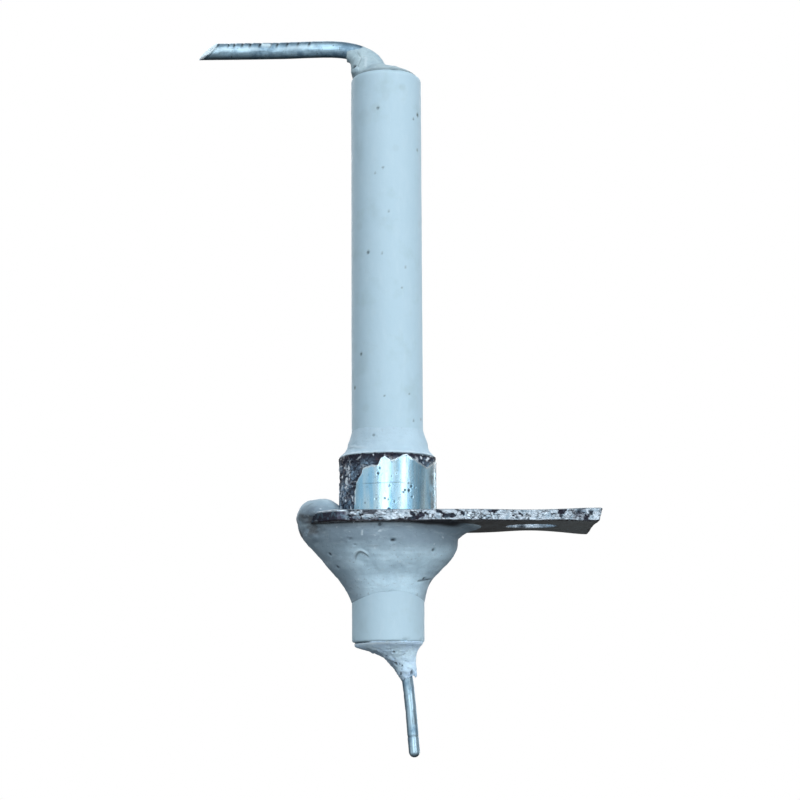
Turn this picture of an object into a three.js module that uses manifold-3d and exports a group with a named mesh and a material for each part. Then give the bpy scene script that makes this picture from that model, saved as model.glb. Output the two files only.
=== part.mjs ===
// Ignition electrode for a gas burner: a steel spark rod in a ceramic tube, cemented into a
// collar that is staked to a flat screw bracket. Millimetres. The origin is on the tube's axis
// at the bracket's seating face, +Z points to the spark end and +X along the bracket arm.

import * as THREE from 'three';
import { mergeVertices } from 'three/addons/utils/BufferGeometryUtils.js';
import Module from 'manifold-3d';

const wasm = await Module();
wasm.setup();

// Fits and facets
const GAP = 0.05; // clearance kept between neighbouring pieces
const ROUND_SIDES = 48; // facets around a turned piece
const OVAL_SIDES = 36; // facets around a cement body
const WIRE_SIDES = 16; // facets around a wire or its crimp sleeve
const MERGE_TOLERANCE = 1e-4;
const QUARTER_TURN = Math.PI / 2;

// Ceramic tube
const TUBE_RADIUS = 3.5;
const TUBE_TOP = 44.15;
const TUBE_BOTTOM = -12.25;
const BORE_RADIUS = 1.9;
const TUBE_TOP_ROUNDING = 0.55;
const TUBE_BOTTOM_ROUNDING = 0.2;

// Spark rod: a level leg with a cut tip, a bend, and a leg down the bore
const ROD_RADIUS = 0.825;
const ROD_TIP = [-17.9, 47.05];
const ROD_BEND = [[-4.6, 47.19], [-2.6, 46.75], [-1.6, 46.1], [-1.12, 45.4], [-0.92, 44.6]];
const ROD_FOOT = [-0.1, 13.3];
const TIP_CUT_SIDEWAYS = 0.8; // how far the cut runs back per millimetre across the rod
const TIP_CUT_UPWARD = 0.88; // and per millimetre up the rod

// Joint between the rod and the terminal pin, inside the bore
const SLEEVE_RADIUS = 1.55;
const SLEEVE_WAIST_RADIUS = 1.35;
const SLEEVE_BOTTOM = 8;
const SLEEVE_MIDDLE = 13;
const SLEEVE_TOP = 18;

// Terminal pin: straight out of the joint, then leaning out towards the bracket side
const PIN_RADIUS = 0.54;
const PIN_HEAD = [-0.1, 12.7];
const PIN_LEAN = [[0.2, -4], [1.35, -12.2], [2.03, -17.5]];
const PIN_END = [2.45, -22.65];
const PIN_GROOVE_Z = -21.2;
const PIN_GROOVE_DEPTH = 0.06;
const PIN_GROOVE_HALF_WIDTH = 0.12;

// Mounting collar, staked through the bracket
const COLLAR_RADIUS = 4.77;
const COLLAR_BORE_RADIUS = 3.9;
const COLLAR_TOP = 5.7;
const SPIGOT_RADIUS = 4.4;
const STAKED_RADIUS = 4.75;
const STAKED_BOTTOM = -1.65;
const COLLAR_EDGE = 0.15;

// Bracket plate
const PLATE_THICKNESS = 1.1;
const PLATE_HALF_WIDTH = 6.5;
const PLATE_RIGHT = 20.35;
const PLATE_END_RADIUS = 8.05; // round end, centred on the tube's axis
const PLATE_CORNER_RADIUS = 0.5;
const SPIGOT_HOLE_RADIUS = 4.47;
const SCREW_HOLE_X = 14;
const SCREW_HOLE_RADIUS = 2.48;

// Cement
const CEMENT_INNER_RADIUS = TUBE_RADIUS + GAP;
const CEMENT_MEETING_Z = 2.5; // where the upper and lower fills meet inside the collar
const UPPER_CEMENT_TOP = 8.4;
const PLUG_RADIUS = BORE_RADIUS - GAP;
const TIP_PLUG_BOTTOM = 38;
const TAIL_PLUG_TOP = -6;
const BEND_COAT_RADIUS = 0.99;

// ---------------------------------------------------------------- shape helpers

function finish(points, faces) {
  const geometry = new THREE.BufferGeometry().setFromPoints(points);
  let volume = 0;
  const normal = new THREE.Vector3();
  for (let i = 0; i < faces.length; i += 3) {
    const [a, b, c] = faces.slice(i, i + 3).map((index) => points[index]);
    volume += normal.crossVectors(b, c).dot(a);
  }
  geometry.setIndex(volume < 0 ? [...faces].reverse() : faces);
  geometry.computeVertexNormals();
  return geometry;
}

// Joins a row of equal rings into one closed body with a fan over each end.
function loft(rings) {
  const sides = rings[0].length;
  const points = rings.flat();
  const faces = [];
  for (let row = 0; row < rings.length - 1; row++) {
    for (let side = 0; side < sides; side++) {
      const here = row * sides + side;
      const beside = row * sides + ((side + 1) % sides);
      faces.push(here, beside, beside + sides, here, beside + sides, here + sides);
    }
  }
  for (const [row, flip] of [[0, true], [rings.length - 1, false]]) {
    const centre = new THREE.Vector3();
    rings[row].forEach((point) => centre.addScaledVector(point, 1 / sides));
    points.push(centre);
    for (let side = 0; side < sides; side++) {
      const here = row * sides + side;
      const beside = row * sides + ((side + 1) % sides);
      faces.push(points.length - 1, flip ? beside : here, flip ? here : beside);
    }
  }
  return finish(points, faces);
}

// A round ring square to a path in the XZ plane; heading is the path's direction there.
function wireRing({ x, z, heading, radius }) {
  return Array.from({ length: WIRE_SIDES }, (_, side) => {
    const angle = (2 * Math.PI * side) / WIRE_SIDES;
    const along = radius * Math.cos(angle);
    return new THREE.Vector3(
      x - along * Math.sin(heading),
      radius * Math.sin(angle),
      z + along * Math.cos(heading),
    );
  });
}

const wire = (stations) => loft(stations.map(wireRing));

// Stations along a smooth route through [x, z] points, closest together where the points are.
function routeStations(points, radius, stepsBetweenPoints = 3) {
  const corners = points.map(([x, z]) => new THREE.Vector3(x, 0, z));
  const route = new THREE.CatmullRomCurve3(corners, false, 'centripetal');
  const steps = stepsBetweenPoints * (points.length - 1);
  return Array.from({ length: steps + 1 }, (_, step) => {
    const { x, z } = route.getPoint(step / steps);
    const along = route.getTangent(step / steps);
    return { x, z, heading: Math.atan2(along.z, along.x), radius };
  });
}

// A level oval ring from left to right in X, and depth to each side in Y.
function ovalRing({ z, left, right, depth }, lift = () => 0) {
  return Array.from({ length: OVAL_SIDES }, (_, side) => {
    const angle = (2 * Math.PI * side) / OVAL_SIDES;
    return new THREE.Vector3(
      (left + right) / 2 + ((right - left) / 2) * Math.cos(angle),
      depth * Math.sin(angle),
      z + lift(angle),
    );
  });
}

// A body turned about Z from a closed profile of [radius, z] pairs.
function turned(profile, sides = ROUND_SIDES) {
  const outline = [...profile, profile[0]].map(([radius, z]) => new THREE.Vector2(radius, z));
  return new THREE.LatheGeometry(outline, sides).rotateX(QUARTER_TURN);
}

// Points on a quarter circle of a profile, from one angle to another in quarter turns.
function corner(radius, z, rounding, fromQuarter, toQuarter, steps = 4) {
  return Array.from({ length: steps + 1 }, (_, step) => {
    const angle = QUARTER_TURN * THREE.MathUtils.lerp(fromQuarter, toQuarter, step / steps);
    return [radius + rounding * Math.cos(angle), z + rounding * Math.sin(angle)];
  });
}

// A smooth [radius, z] profile through a few hand-set points.
function smoothProfile(points, steps) {
  const curve = new THREE.SplineCurve(points.map(([radius, z]) => new THREE.Vector2(radius, z)));
  return curve.getPoints(steps).map((point) => [point.x, point.y]);
}

// Stations set between a few hand-set ones, so that a cement body is smooth.
function smoothStations(sections, steps) {
  const through = (key) => new THREE.SplineCurve(
    sections.map((section) => new THREE.Vector2(section.z, section[key])),
  );
  const [left, right, depth] = ['left', 'right', 'depth'].map(through);
  return Array.from({ length: steps + 1 }, (_, step) => {
    const t = step / steps;
    return {
      z: left.getPoint(t).x,
      left: left.getPoint(t).y,
      right: right.getPoint(t).y,
      depth: depth.getPoint(t).y,
    };
  });
}

function toSolid(geometry) {
  const bare = geometry.clone();
  bare.deleteAttribute('normal');
  bare.deleteAttribute('uv');
  const merged = mergeVertices(bare, MERGE_TOLERANCE);
  return new wasm.Manifold(new wasm.Mesh({
    numProp: 3,
    vertProperties: Float32Array.from(merged.attributes.position.array),
    triVerts: Uint32Array.from(merged.index.array),
  }));
}

function toGeometry(solid) {
  const { vertProperties, triVerts } = solid.getMesh();
  const geometry = new THREE.BufferGeometry();
  geometry.setAttribute('position', new THREE.BufferAttribute(vertProperties, 3));
  geometry.setIndex(new THREE.BufferAttribute(triVerts, 1));
  geometry.computeVertexNormals();
  return geometry;
}

// Joins the bodies, then cuts the cutters out of them.
function carve(bodies, cutters) {
  const joined = bodies.map(toSolid).reduce((whole, body) => whole.add(body));
  return toGeometry(cutters.map(toSolid).reduce((rest, cutter) => rest.subtract(cutter), joined));
}

// ---------------------------------------------------------------- ceramic and metal

function ceramicTube() {
  return turned([
    [BORE_RADIUS, TUBE_BOTTOM],
    ...corner(TUBE_RADIUS - TUBE_BOTTOM_ROUNDING, TUBE_BOTTOM + TUBE_BOTTOM_ROUNDING,
      TUBE_BOTTOM_ROUNDING, -1, 0, 2),
    ...corner(TUBE_RADIUS - TUBE_TOP_ROUNDING, TUBE_TOP - TUBE_TOP_ROUNDING,
      TUBE_TOP_ROUNDING, 0, 1),
    [BORE_RADIUS, TUBE_TOP],
  ]);
}

// The leg in the bore drifts gently from under the bend to the joint sleeve. A larger radius
// makes the cutter for the cement around the rod.
function rodStations(radius = ROD_RADIUS) {
  const bore = [[-0.8, 42], [-0.5, 32], [ROD_FOOT[0], SLEEVE_TOP + 4]];
  return routeStations([ROD_TIP, [-11, 47.12], ...ROD_BEND, ...bore, ROD_FOOT], radius);
}

function sparkRod() {
  const rings = rodStations().map(wireRing);
  for (const point of rings[0]) {
    point.x += TIP_CUT_UPWARD * (point.z - ROD_TIP[1]) - TIP_CUT_SIDEWAYS * point.y;
  }
  return loft(rings);
}

function jointSleeve() {
  const crimp = (z) => [
    [SLEEVE_RADIUS, z - 1],
    [SLEEVE_WAIST_RADIUS, z - 0.6],
    [SLEEVE_WAIST_RADIUS, z + 0.6],
    [SLEEVE_RADIUS, z + 1],
  ];
  const rodSocket = ROD_RADIUS + GAP;
  const pinSocket = PIN_RADIUS + GAP;
  return turned([
    [pinSocket, SLEEVE_BOTTOM],
    [SLEEVE_RADIUS, SLEEVE_BOTTOM],
    ...crimp((SLEEVE_BOTTOM + SLEEVE_MIDDLE) / 2),
    ...crimp((SLEEVE_MIDDLE + SLEEVE_TOP) / 2),
    [SLEEVE_RADIUS, SLEEVE_TOP],
    [rodSocket, SLEEVE_TOP],
    [rodSocket, SLEEVE_MIDDLE],
    [pinSocket, SLEEVE_MIDDLE],
  ], WIRE_SIDES).translate(ROD_FOOT[0], 0, 0);
}

function pinStations(radius = PIN_RADIUS) {
  const straight = [PIN_HEAD, [PIN_HEAD[0], SLEEVE_BOTTOM - 1]];
  return routeStations([...straight, ...PIN_LEAN, PIN_END], radius, 4);
}

function terminalPin() {
  const shank = pinStations();
  const last = shank[shank.length - 1];
  const alongEnd = (distance, radius) => ({
    ...last,
    x: last.x + distance * Math.cos(last.heading),
    z: last.z + distance * Math.sin(last.heading),
    radius,
  });
  const groove = [[-1, 0], [-0.5, 1], [0.5, 1], [1, 0]].map(([side, depth]) => (
    alongEnd(PIN_END[1] - PIN_GROOVE_Z + side * PIN_GROOVE_HALF_WIDTH,
      PIN_RADIUS - depth * PIN_GROOVE_DEPTH)));
  const tip = [0, 0.35, 0.65, 0.88].map((share) => (
    alongEnd(PIN_RADIUS * share, PIN_RADIUS * Math.sqrt(1 - share ** 2))));
  const above = shank.filter((station) => station.z > PIN_GROOVE_Z + 2 * PIN_GROOVE_HALF_WIDTH);
  return wire([...above, ...groove, ...tip]);
}

// The grow value turns the collar into the cutter for the cement around it.
function mountingCollar(grow = 0) {
  const under = -PLATE_THICKNESS - GAP;
  return turned([
    [COLLAR_BORE_RADIUS - grow, STAKED_BOTTOM - grow],
    [SPIGOT_RADIUS + grow, STAKED_BOTTOM - grow],
    [STAKED_RADIUS + grow, STAKED_BOTTOM + COLLAR_EDGE],
    [STAKED_RADIUS + grow, under + grow],
    [SPIGOT_RADIUS + grow, under + grow],
    [SPIGOT_RADIUS + grow, GAP - grow],
    [COLLAR_RADIUS + grow, GAP - grow],
    [COLLAR_RADIUS + grow, COLLAR_TOP - COLLAR_EDGE],
    [COLLAR_RADIUS - COLLAR_EDGE + grow, COLLAR_TOP + grow],
    [COLLAR_BORE_RADIUS - grow, COLLAR_TOP + grow],
  ]);
}

// The grow value turns the plate into the cutter for the cement that wraps its round end.
function bracketPlate(grow = 0) {
  const width = PLATE_HALF_WIDTH + grow;
  const right = PLATE_RIGHT + grow;
  const round = PLATE_CORNER_RADIUS;
  const endAngle = Math.asin(PLATE_HALF_WIDTH / PLATE_END_RADIUS);
  const outline = new THREE.Shape();
  outline.absarc(right - round, -width + round, round, -QUARTER_TURN, 0);
  outline.absarc(right - round, width - round, round, 0, QUARTER_TURN);
  outline.lineTo(SCREW_HOLE_X - PLATE_HALF_WIDTH, width);
  outline.absarc(0, 0, PLATE_END_RADIUS + grow, Math.PI - endAngle, Math.PI + endAngle);
  outline.lineTo(SCREW_HOLE_X - PLATE_HALF_WIDTH, -width);
  const bore = (x, radius) => new THREE.Path().absarc(x, 0, radius, 0, 2 * Math.PI, true);
  outline.holes.push(bore(0, SPIGOT_HOLE_RADIUS - grow), bore(SCREW_HOLE_X, SCREW_HOLE_RADIUS));
  const depth = PLATE_THICKNESS + 2 * grow;
  return new THREE.ExtrudeGeometry(outline, { depth, bevelEnabled: false, curveSegments: 24 })
    .translate(0, 0, -PLATE_THICKNESS - grow);
}

// ---------------------------------------------------------------- cement

// Fills the collar around the tube and climbs from the collar's rim to the tube in a fillet.
function collarCement() {
  const fillet = smoothProfile([
    [COLLAR_RADIUS - 0.1, COLLAR_TOP + GAP],
    [4.3, 6.08],
    [3.98, 6.6],
    [3.78, 7.3],
    [CEMENT_INNER_RADIUS + 0.05, UPPER_CEMENT_TOP],
  ], 8);
  return turned([
    [CEMENT_INNER_RADIUS, CEMENT_MEETING_Z + GAP],
    [COLLAR_BORE_RADIUS - GAP, CEMENT_MEETING_Z + GAP],
    [COLLAR_BORE_RADIUS - GAP, COLLAR_TOP + GAP],
    ...fillet,
    [CEMENT_INNER_RADIUS, UPPER_CEMENT_TOP],
  ]);
}

// A lopsided cone under the bracket, with a lobe that wraps the bracket's round end.
function lowerCement() {
  const sections = smoothStations([
    { z: -0.6, left: -8.8, right: 7.6, depth: 6.2 },
    { z: -1.9, left: -8.35, right: 6.85, depth: 6.1 },
    { z: -3.2, left: -7.3, right: 6.65, depth: 5.9 },
    { z: -4.8, left: -5.9, right: 5.5, depth: 5.1 },
    { z: -6.4, left: -4.65, right: 4.15, depth: 4.1 },
    { z: -8.2, left: -3.66, right: 3.66, depth: 3.66 },
  ], 14);
  const scallop = 0.9; // how much higher the cement ends on the front of the tube
  const cone = loft(sections.map((section, index) => {
    const down = (index / (sections.length - 1)) ** 2;
    return ovalRing(section, (angle) => scallop * down * Math.max(0, -Math.sin(angle)) ** 2);
  }));
  const lobe = new THREE.SphereGeometry(1, 24, 14).scale(2.25, 4.3, 1.85).translate(-6.6, 0.2, 0);
  const fill = turned([
    [0.5, -2],
    [COLLAR_BORE_RADIUS - GAP, -2],
    [COLLAR_BORE_RADIUS - GAP, CEMENT_MEETING_Z - GAP],
    [0.5, CEMENT_MEETING_Z - GAP],
  ]);
  const tubeSpace = new THREE.CylinderGeometry(
    CEMENT_INNER_RADIUS, CEMENT_INNER_RADIUS, 40, ROUND_SIDES,
  ).rotateX(QUARTER_TURN);
  return carve([cone, lobe, fill], [bracketPlate(GAP), mountingCollar(GAP), tubeSpace]);
}

// Plugs the top of the bore, caps the tube and buries the rod's bend.
function tipCement() {
  const base = TUBE_TOP + GAP;
  const plug = turned([
    [0.1, TIP_PLUG_BOTTOM],
    [PLUG_RADIUS, TIP_PLUG_BOTTOM],
    [PLUG_RADIUS, base + 0.1],
    [0.1, base + 0.1],
  ], WIRE_SIDES);
  const film = turned([
    [0.1, base],
    [2.85, base],
    [3.1, base + 0.08],
    [2.9, base + 0.28],
    [1.6, base + 0.45],
    [0.1, base + 0.5],
  ]);
  const mound = loft(smoothStations([
    { z: base + 0.05, left: -3.3, right: 0.85, depth: 2.4 },
    { z: 44.8, left: -3.45, right: 0.2, depth: 1.9 },
    { z: 45.5, left: -3.5, right: 0, depth: 1.5 },
    { z: 46.1, left: -3.7, right: -0.6, depth: 1.15 },
    { z: 46.6, left: -3.4, right: -1.4, depth: 0.7 },
  ], 8).map((section) => ovalRing(section)));
  const coat = wire(rodStations(BEND_COAT_RADIUS)
    .filter(({ x, z }) => x > ROD_BEND[1][0] - BEND_COAT_RADIUS / 2 && z > TUBE_TOP + 0.2));
  return carve([plug, film, mound, coat], [wire(rodStations(ROD_RADIUS + GAP))]);
}

// Plugs the bottom of the bore and runs down the terminal pin in a tail.
function tailCement() {
  const base = TUBE_BOTTOM - GAP;
  const tail = loft(smoothStations([
    { z: base, left: -3.4, right: 3.4, depth: 3.4 },
    { z: -12.75, left: -2.8, right: 3.05, depth: 2.7 },
    { z: -13.4, left: -0.95, right: 2.75, depth: 1.85 },
    { z: -14.2, left: 0.05, right: 2.68, depth: 1.3 },
    { z: -15.2, left: 0.78, right: 2.74, depth: 1 },
    { z: -16, left: 1.12, right: 2.62, depth: 0.75 },
  ], 12).map((section) => ovalRing(section)));
  const plug = turned([
    [0.1, base - 0.1],
    [PLUG_RADIUS, base - 0.1],
    [PLUG_RADIUS, TAIL_PLUG_TOP],
    [0.1, TAIL_PLUG_TOP],
  ], WIRE_SIDES);
  return carve([tail, plug], [wire(pinStations(PIN_RADIUS + GAP))]);
}

// ---------------------------------------------------------------- assembly

const finishes = {
  ceramic: { color: 0xaccde0, roughness: 0.45, metalness: 0 },
  cement: { color: 0x9fbccd, roughness: 0.85, metalness: 0 },
  steel: { color: 0x8aa8bb, roughness: 0.35, metalness: 0.9 },
  darkSteel: { color: 0x50575c, roughness: 0.6, metalness: 0.8 },
  zinc: { color: 0xb4d9ef, roughness: 0.3, metalness: 0.9 },
};

function piece(name, geometry, finishName) {
  const material = new THREE.MeshStandardMaterial(finishes[finishName]);
  const mesh = new THREE.Mesh(geometry, material);
  mesh.name = name;
  return mesh;
}

const insulator = new THREE.Group();
insulator.add(
  piece('ceramic_tube', ceramicTube(), 'ceramic'),
  piece('tip_cement', tipCement(), 'cement'),
  piece('tail_cement', tailCement(), 'cement'),
);

const conductor = new THREE.Group();
conductor.add(
  piece('spark_rod', sparkRod(), 'steel'),
  piece('joint_sleeve', jointSleeve(), 'steel'),
  piece('terminal_pin', terminalPin(), 'steel'),
);

const mounting = new THREE.Group();
mounting.add(
  piece('bracket_plate', bracketPlate(), 'darkSteel'),
  piece('mounting_collar', mountingCollar(), 'zinc'),
  piece('collar_cement', collarCement(), 'cement'),
  piece('lower_cement', lowerCement(), 'cement'),
);

const electrode = new THREE.Group();
electrode.add(insulator, conductor, mounting);

export default electrode;
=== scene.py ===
"""Looks for the ignition electrode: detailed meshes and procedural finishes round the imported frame.

Shapes are worked out in millimetres in the CAD frame: +Z up the ceramic tube, +X along the bracket
arm, and -Y towards the viewer. They are turned into metres when a piece is made. The noise depends
only on a point's place and a seed, so every run gives the same shapes.
"""

import functools
import math

import bmesh
import bpy
import numpy as np
from mathutils import Matrix, Vector
from mathutils.geometry import delaunay_2d_cdt


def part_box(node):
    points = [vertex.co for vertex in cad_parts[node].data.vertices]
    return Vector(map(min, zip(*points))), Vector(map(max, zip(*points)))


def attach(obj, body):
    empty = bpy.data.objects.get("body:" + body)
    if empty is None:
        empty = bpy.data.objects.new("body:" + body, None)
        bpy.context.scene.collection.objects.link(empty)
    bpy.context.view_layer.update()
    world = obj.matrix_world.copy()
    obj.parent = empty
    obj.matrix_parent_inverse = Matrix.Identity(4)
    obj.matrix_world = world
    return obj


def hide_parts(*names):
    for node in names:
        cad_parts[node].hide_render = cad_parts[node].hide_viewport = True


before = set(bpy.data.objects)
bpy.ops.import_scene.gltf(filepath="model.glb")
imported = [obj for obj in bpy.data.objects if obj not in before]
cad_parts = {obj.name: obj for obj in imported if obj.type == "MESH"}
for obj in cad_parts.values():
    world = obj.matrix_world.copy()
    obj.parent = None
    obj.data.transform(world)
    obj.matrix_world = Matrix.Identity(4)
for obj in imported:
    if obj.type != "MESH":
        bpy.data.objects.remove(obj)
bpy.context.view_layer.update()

MM = 0.001
scene = bpy.context.scene


def box(node):
    """Lowest and highest corner of a CAD node in millimetres."""
    low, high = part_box(node)
    return np.array(low) / MM, np.array(high) / MM


TUBE_LOW, TUBE_HIGH = box("ceramic_tube")
COLLAR_LOW, COLLAR_HIGH = box("mounting_collar")
PLATE_LOW, PLATE_HIGH = box("bracket_plate")

TUBE_RADIUS = TUBE_HIGH[0]
TUBE_TOP = TUBE_HIGH[2]
TUBE_BOTTOM = TUBE_LOW[2]
TUBE_BORE = 1.9
COLLAR_RADIUS = COLLAR_HIGH[0]
COLLAR_TOP = COLLAR_HIGH[2]
COLLAR_BOTTOM = COLLAR_LOW[2]
COLLAR_BORE = 3.9
SPIGOT_RADIUS = 4.4
PLATE_BOTTOM = PLATE_LOW[2]
PLATE_RIGHT = PLATE_HIGH[0]
PLATE_HALF_WIDTH = PLATE_HIGH[1]
PLATE_END_RADIUS = -PLATE_LOW[0]
SCREW_HOLE_X = 14.0
SCREW_HOLE_RADIUS = 2.48
ROD_RADIUS = box("spark_rod")[1][1]
PIN_RADIUS = box("terminal_pin")[1][1]

# ---- noise and masks


def lattice(cell, seed):
    """A fixed random number from 0 to 1 for each whole-number point."""
    x, y, z = cell.astype(np.int64).T
    mixed = (x * 73856093) ^ (y * 19349663) ^ (z * 83492791) ^ (seed * 2654435761)
    mixed = ((mixed ^ (mixed >> 15)) * 2246822519) & 0xFFFFFFFF
    mixed = ((mixed ^ (mixed >> 13)) * 3266489917) & 0xFFFFFFFF
    return ((mixed ^ (mixed >> 16)) & 0xFFFFFFFF) / 0xFFFFFFFF


def noise(points, size, seed=0):
    """Smooth noise from -1 to 1 with lumps of that size, which may be three numbers."""
    scaled = points / size
    base = np.floor(scaled)
    part = scaled - base
    part = part * part * (3 - 2 * part)
    total = np.zeros(len(points))
    for corner in np.ndindex(2, 2, 2):
        share = np.where(corner, part, 1 - part).prod(axis=1)
        total += share * lattice(base + corner, seed)
    return 2 * total - 1


def fractal(points, size, octaves, seed):
    """Noise with finer and finer lumps added to it, from about -1 to 1."""
    size = np.asarray(size, float)
    total = np.zeros(len(points))
    for octave in range(octaves):
        total += noise(points, size / 2**octave, seed + octave) / 2**octave
    return total / 1.5


def bent(points, reach, size, octaves, seed):
    """The points shifted by noise, which makes the borders between their cells crooked."""
    shifts = [fractal(points, size, octaves, seed + axis) for axis in range(3)]
    return points + reach * np.column_stack(shifts)


def lengths(vectors):
    """The length of each row."""
    return np.linalg.norm(vectors, axis=1)


def cells(points, size, seed):
    """Distance to the nearest and second nearest of scattered points, and a number for the nearest."""
    scaled = points / size
    base = np.floor(scaled)
    first = np.full(len(points), 9.0)
    second = first.copy()
    owner = np.zeros(len(points))
    for offset in np.ndindex(3, 3, 3):
        cell = base + offset - 1
        spot = cell + np.stack([lattice(cell, seed + axis) for axis in range(3)], axis=1)
        distance = lengths(spot - scaled)
        closer = distance < first
        second = np.where(closer, first, np.minimum(second, distance))
        owner = np.where(closer, lattice(cell, seed + 3), owner)
        first = np.where(closer, distance, first)
    return first, second, owner


def scattered_pits(points, size, share, seed):
    """Round pits in some of the cells: 1 at a pit's middle and 0 outside it."""
    near, _, owner = cells(points, size, seed)
    return ramp(near, 0.42, 0.08) * (owner < share)


def ramp(value, start, end):
    """0 up to start, 1 from end on, and smooth between; start may be the larger."""
    share = np.clip((np.asarray(value, float) - start) / (end - start), 0, 1)
    return share * share * (3 - 2 * share)


def between(value, start, full, fade, end):
    """0 up to start, 1 from full to fade and 0 again from end on."""
    return ramp(value, start, full) * ramp(value, end, fade)


def bell(value, width):
    """1 at zero, fading to nothing over about twice the width."""
    return np.exp(-((np.asarray(value, float) / width) ** 2))


def most(*masks):
    """The largest of several masks at each point."""
    return functools.reduce(np.maximum, masks)


def around(points):
    """Degrees about the tube's axis, with 0 facing the viewer and +90 towards the bracket arm."""
    return np.degrees(np.arctan2(points[:, 0], -points[:, 1]))


def from_axis(points):
    """Each point's distance from the tube's axis."""
    return lengths(points[:, :2])


def pushed_out(points, depth):
    """The points moved away from the tube's axis, each by its own depth."""
    outwards = points * [1, 1, 0] / from_axis(points)[:, None]
    return points + outwards * depth[:, None]


def on_tube(angle, z, radius):
    """The point at that angle about the axis, in degrees, and that height."""
    turn = math.radians(angle)
    return np.array([radius * math.sin(turn), -radius * math.cos(turn), z])


def spots(points, marks, stretch=(1, 1, 1)):
    """1 in the middle of each (centre, radius, strength) mark, fading to 0 at its radius."""
    total = np.zeros(len(points))
    for centre, radius, strength in marks:
        distance = lengths((points - centre) / stretch)
        total = most(total, strength * ramp(distance, radius, 0.35 * radius))
    return total


def spots_round(points, marks, radius):
    """Spots on a skin of that radius, from marks of degrees, height, size and strength."""
    return spots(points, [(on_tube(turn, z, radius), size, strength) for turn, z, size, strength in marks])


# ---- meshes

CAP_ROWS = 5  # rows from the rim of a fine cap to its middle
CURVE_STEPS = 60  # fine steps between two given points of a wire


def densify(profile, spacing):
    """The same line with points no further apart than spacing."""
    profile = np.asarray(profile, float)
    dense = [profile[:1]]
    for start, end in zip(profile[:-1], profile[1:]):
        steps = max(1, math.ceil(np.linalg.norm(end - start) / spacing))
        dense.append(start + (end - start) * np.arange(1, steps + 1)[:, None] / steps)
    return np.concatenate(dense)


def arc(centre, radius, start, end, steps):
    """Points on part of a circle, from one angle to another in degrees."""
    angles = np.radians(np.linspace(start, end, steps))
    return np.asarray(centre) + radius * np.stack([np.cos(angles), np.sin(angles)], axis=1)


def extended(points):
    """A line's points with one more at each end, straight on."""
    points = np.asarray(points, float)
    return np.vstack([2 * points[0] - points[1], points, 2 * points[-1] - points[-2]])


def smooth_line(points, steps):
    """A smooth line (Catmull-Rom) through given points of any number of dimensions."""
    ends = extended(points)
    line = []
    for t in np.linspace(0, len(points) - 1, steps):
        index = min(int(t), len(points) - 2)
        u = t - index
        a, b, c, d = ends[index:index + 4]
        line.append(0.5 * (2 * b + (c - a) * u + (2 * a - 5 * b + 4 * c - d) * u**2
                           + (3 * b - a - 3 * c + d) * u**3))
    return np.array(line)


def travelled(line, power=1):
    """How far along a line each of its points is, with each step raised to that power."""
    return np.concatenate([[0], np.cumsum(lengths(np.diff(line, axis=0)) ** power)])


def wire_route(points, spacing):
    """Even steps on the CAD's kind of curve (centripetal) through given points, and their lengths."""
    ends = extended(points)
    fine = []
    for index in range(len(points) - 1):
        near = ends[index:index + 4]
        knots = travelled(near, 0.5)
        t = np.linspace(knots[1], knots[2], CURVE_STEPS, endpoint=False)[:, None]
        for spans in ((0, 1), (1, 2), (2, 3)), ((0, 2), (1, 3)), ((1, 2),):
            near = [(knots[end] - t) / (knots[end] - knots[start]) * before
                    + (t - knots[start]) / (knots[end] - knots[start]) * after
                    for (start, end), before, after in zip(spans, near[:-1], near[1:])]
        fine.append(near[0])
    fine = np.vstack([*fine, ends[-2:-1]])
    length = travelled(fine)
    even = np.linspace(0, length[-1], math.ceil(length[-1] / spacing) + 1)
    return np.stack([np.interp(even, length, fine[:, axis]) for axis in range(2)], axis=1), even


def full_turn(sides):
    """Even angles round a circle."""
    return 2 * np.pi * np.arange(sides) / sides


def turned(profile, sides):
    """Rings of points about Z, one for each (radius, z) of the profile: rows, sides, 3."""
    angles = full_turn(sides)
    radius, z = np.asarray(profile).T[:, :, None]
    return np.stack(np.broadcast_arrays(radius * np.cos(angles), radius * np.sin(angles), z), -1)


def grid_quads(rows, sides, closed_rows=False):
    """Faces over rows of rings; closed_rows joins the last ring to the first."""
    row, side = np.meshgrid(np.arange(rows - (not closed_rows)), np.arange(sides), indexing="ij")
    above = (row + 1) % rows
    beside = (side + 1) % sides
    quads = [row * sides + side, row * sides + beside, above * sides + beside, above * sides + side]
    return np.stack(quads, axis=-1).reshape(-1, 4).tolist()


def capped(rings, cap_rows=1):
    """A closed body from open rings: each end narrows to a middle point. Points and faces."""
    def narrowed(ring, shares):
        middle = ring.mean(axis=0)
        return [middle + (ring - middle) * share for share in shares]

    shares = np.linspace(1, 0, cap_rows + 1)[1:-1]
    rings = np.array([*narrowed(rings[0], shares[::-1]), *rings, *narrowed(rings[-1], shares)])
    rows, sides, _ = rings.shape
    points = np.vstack([rings.reshape(-1, 3), rings[0].mean(axis=0), rings[-1].mean(axis=0)])
    faces = grid_quads(rows, sides)
    for side in range(sides):
        beside = (side + 1) % sides
        faces.append([rows * sides, beside, side])
        faces.append([rows * sides + 1, (rows - 1) * sides + side, (rows - 1) * sides + beside])
    return points, faces


def closed_turned(profile, sides):
    """A ring-shaped body turned about Z from a closed profile. Points and faces."""
    return turned(profile, sides).reshape(-1, 3), grid_quads(len(profile), sides, closed_rows=True)


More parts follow.
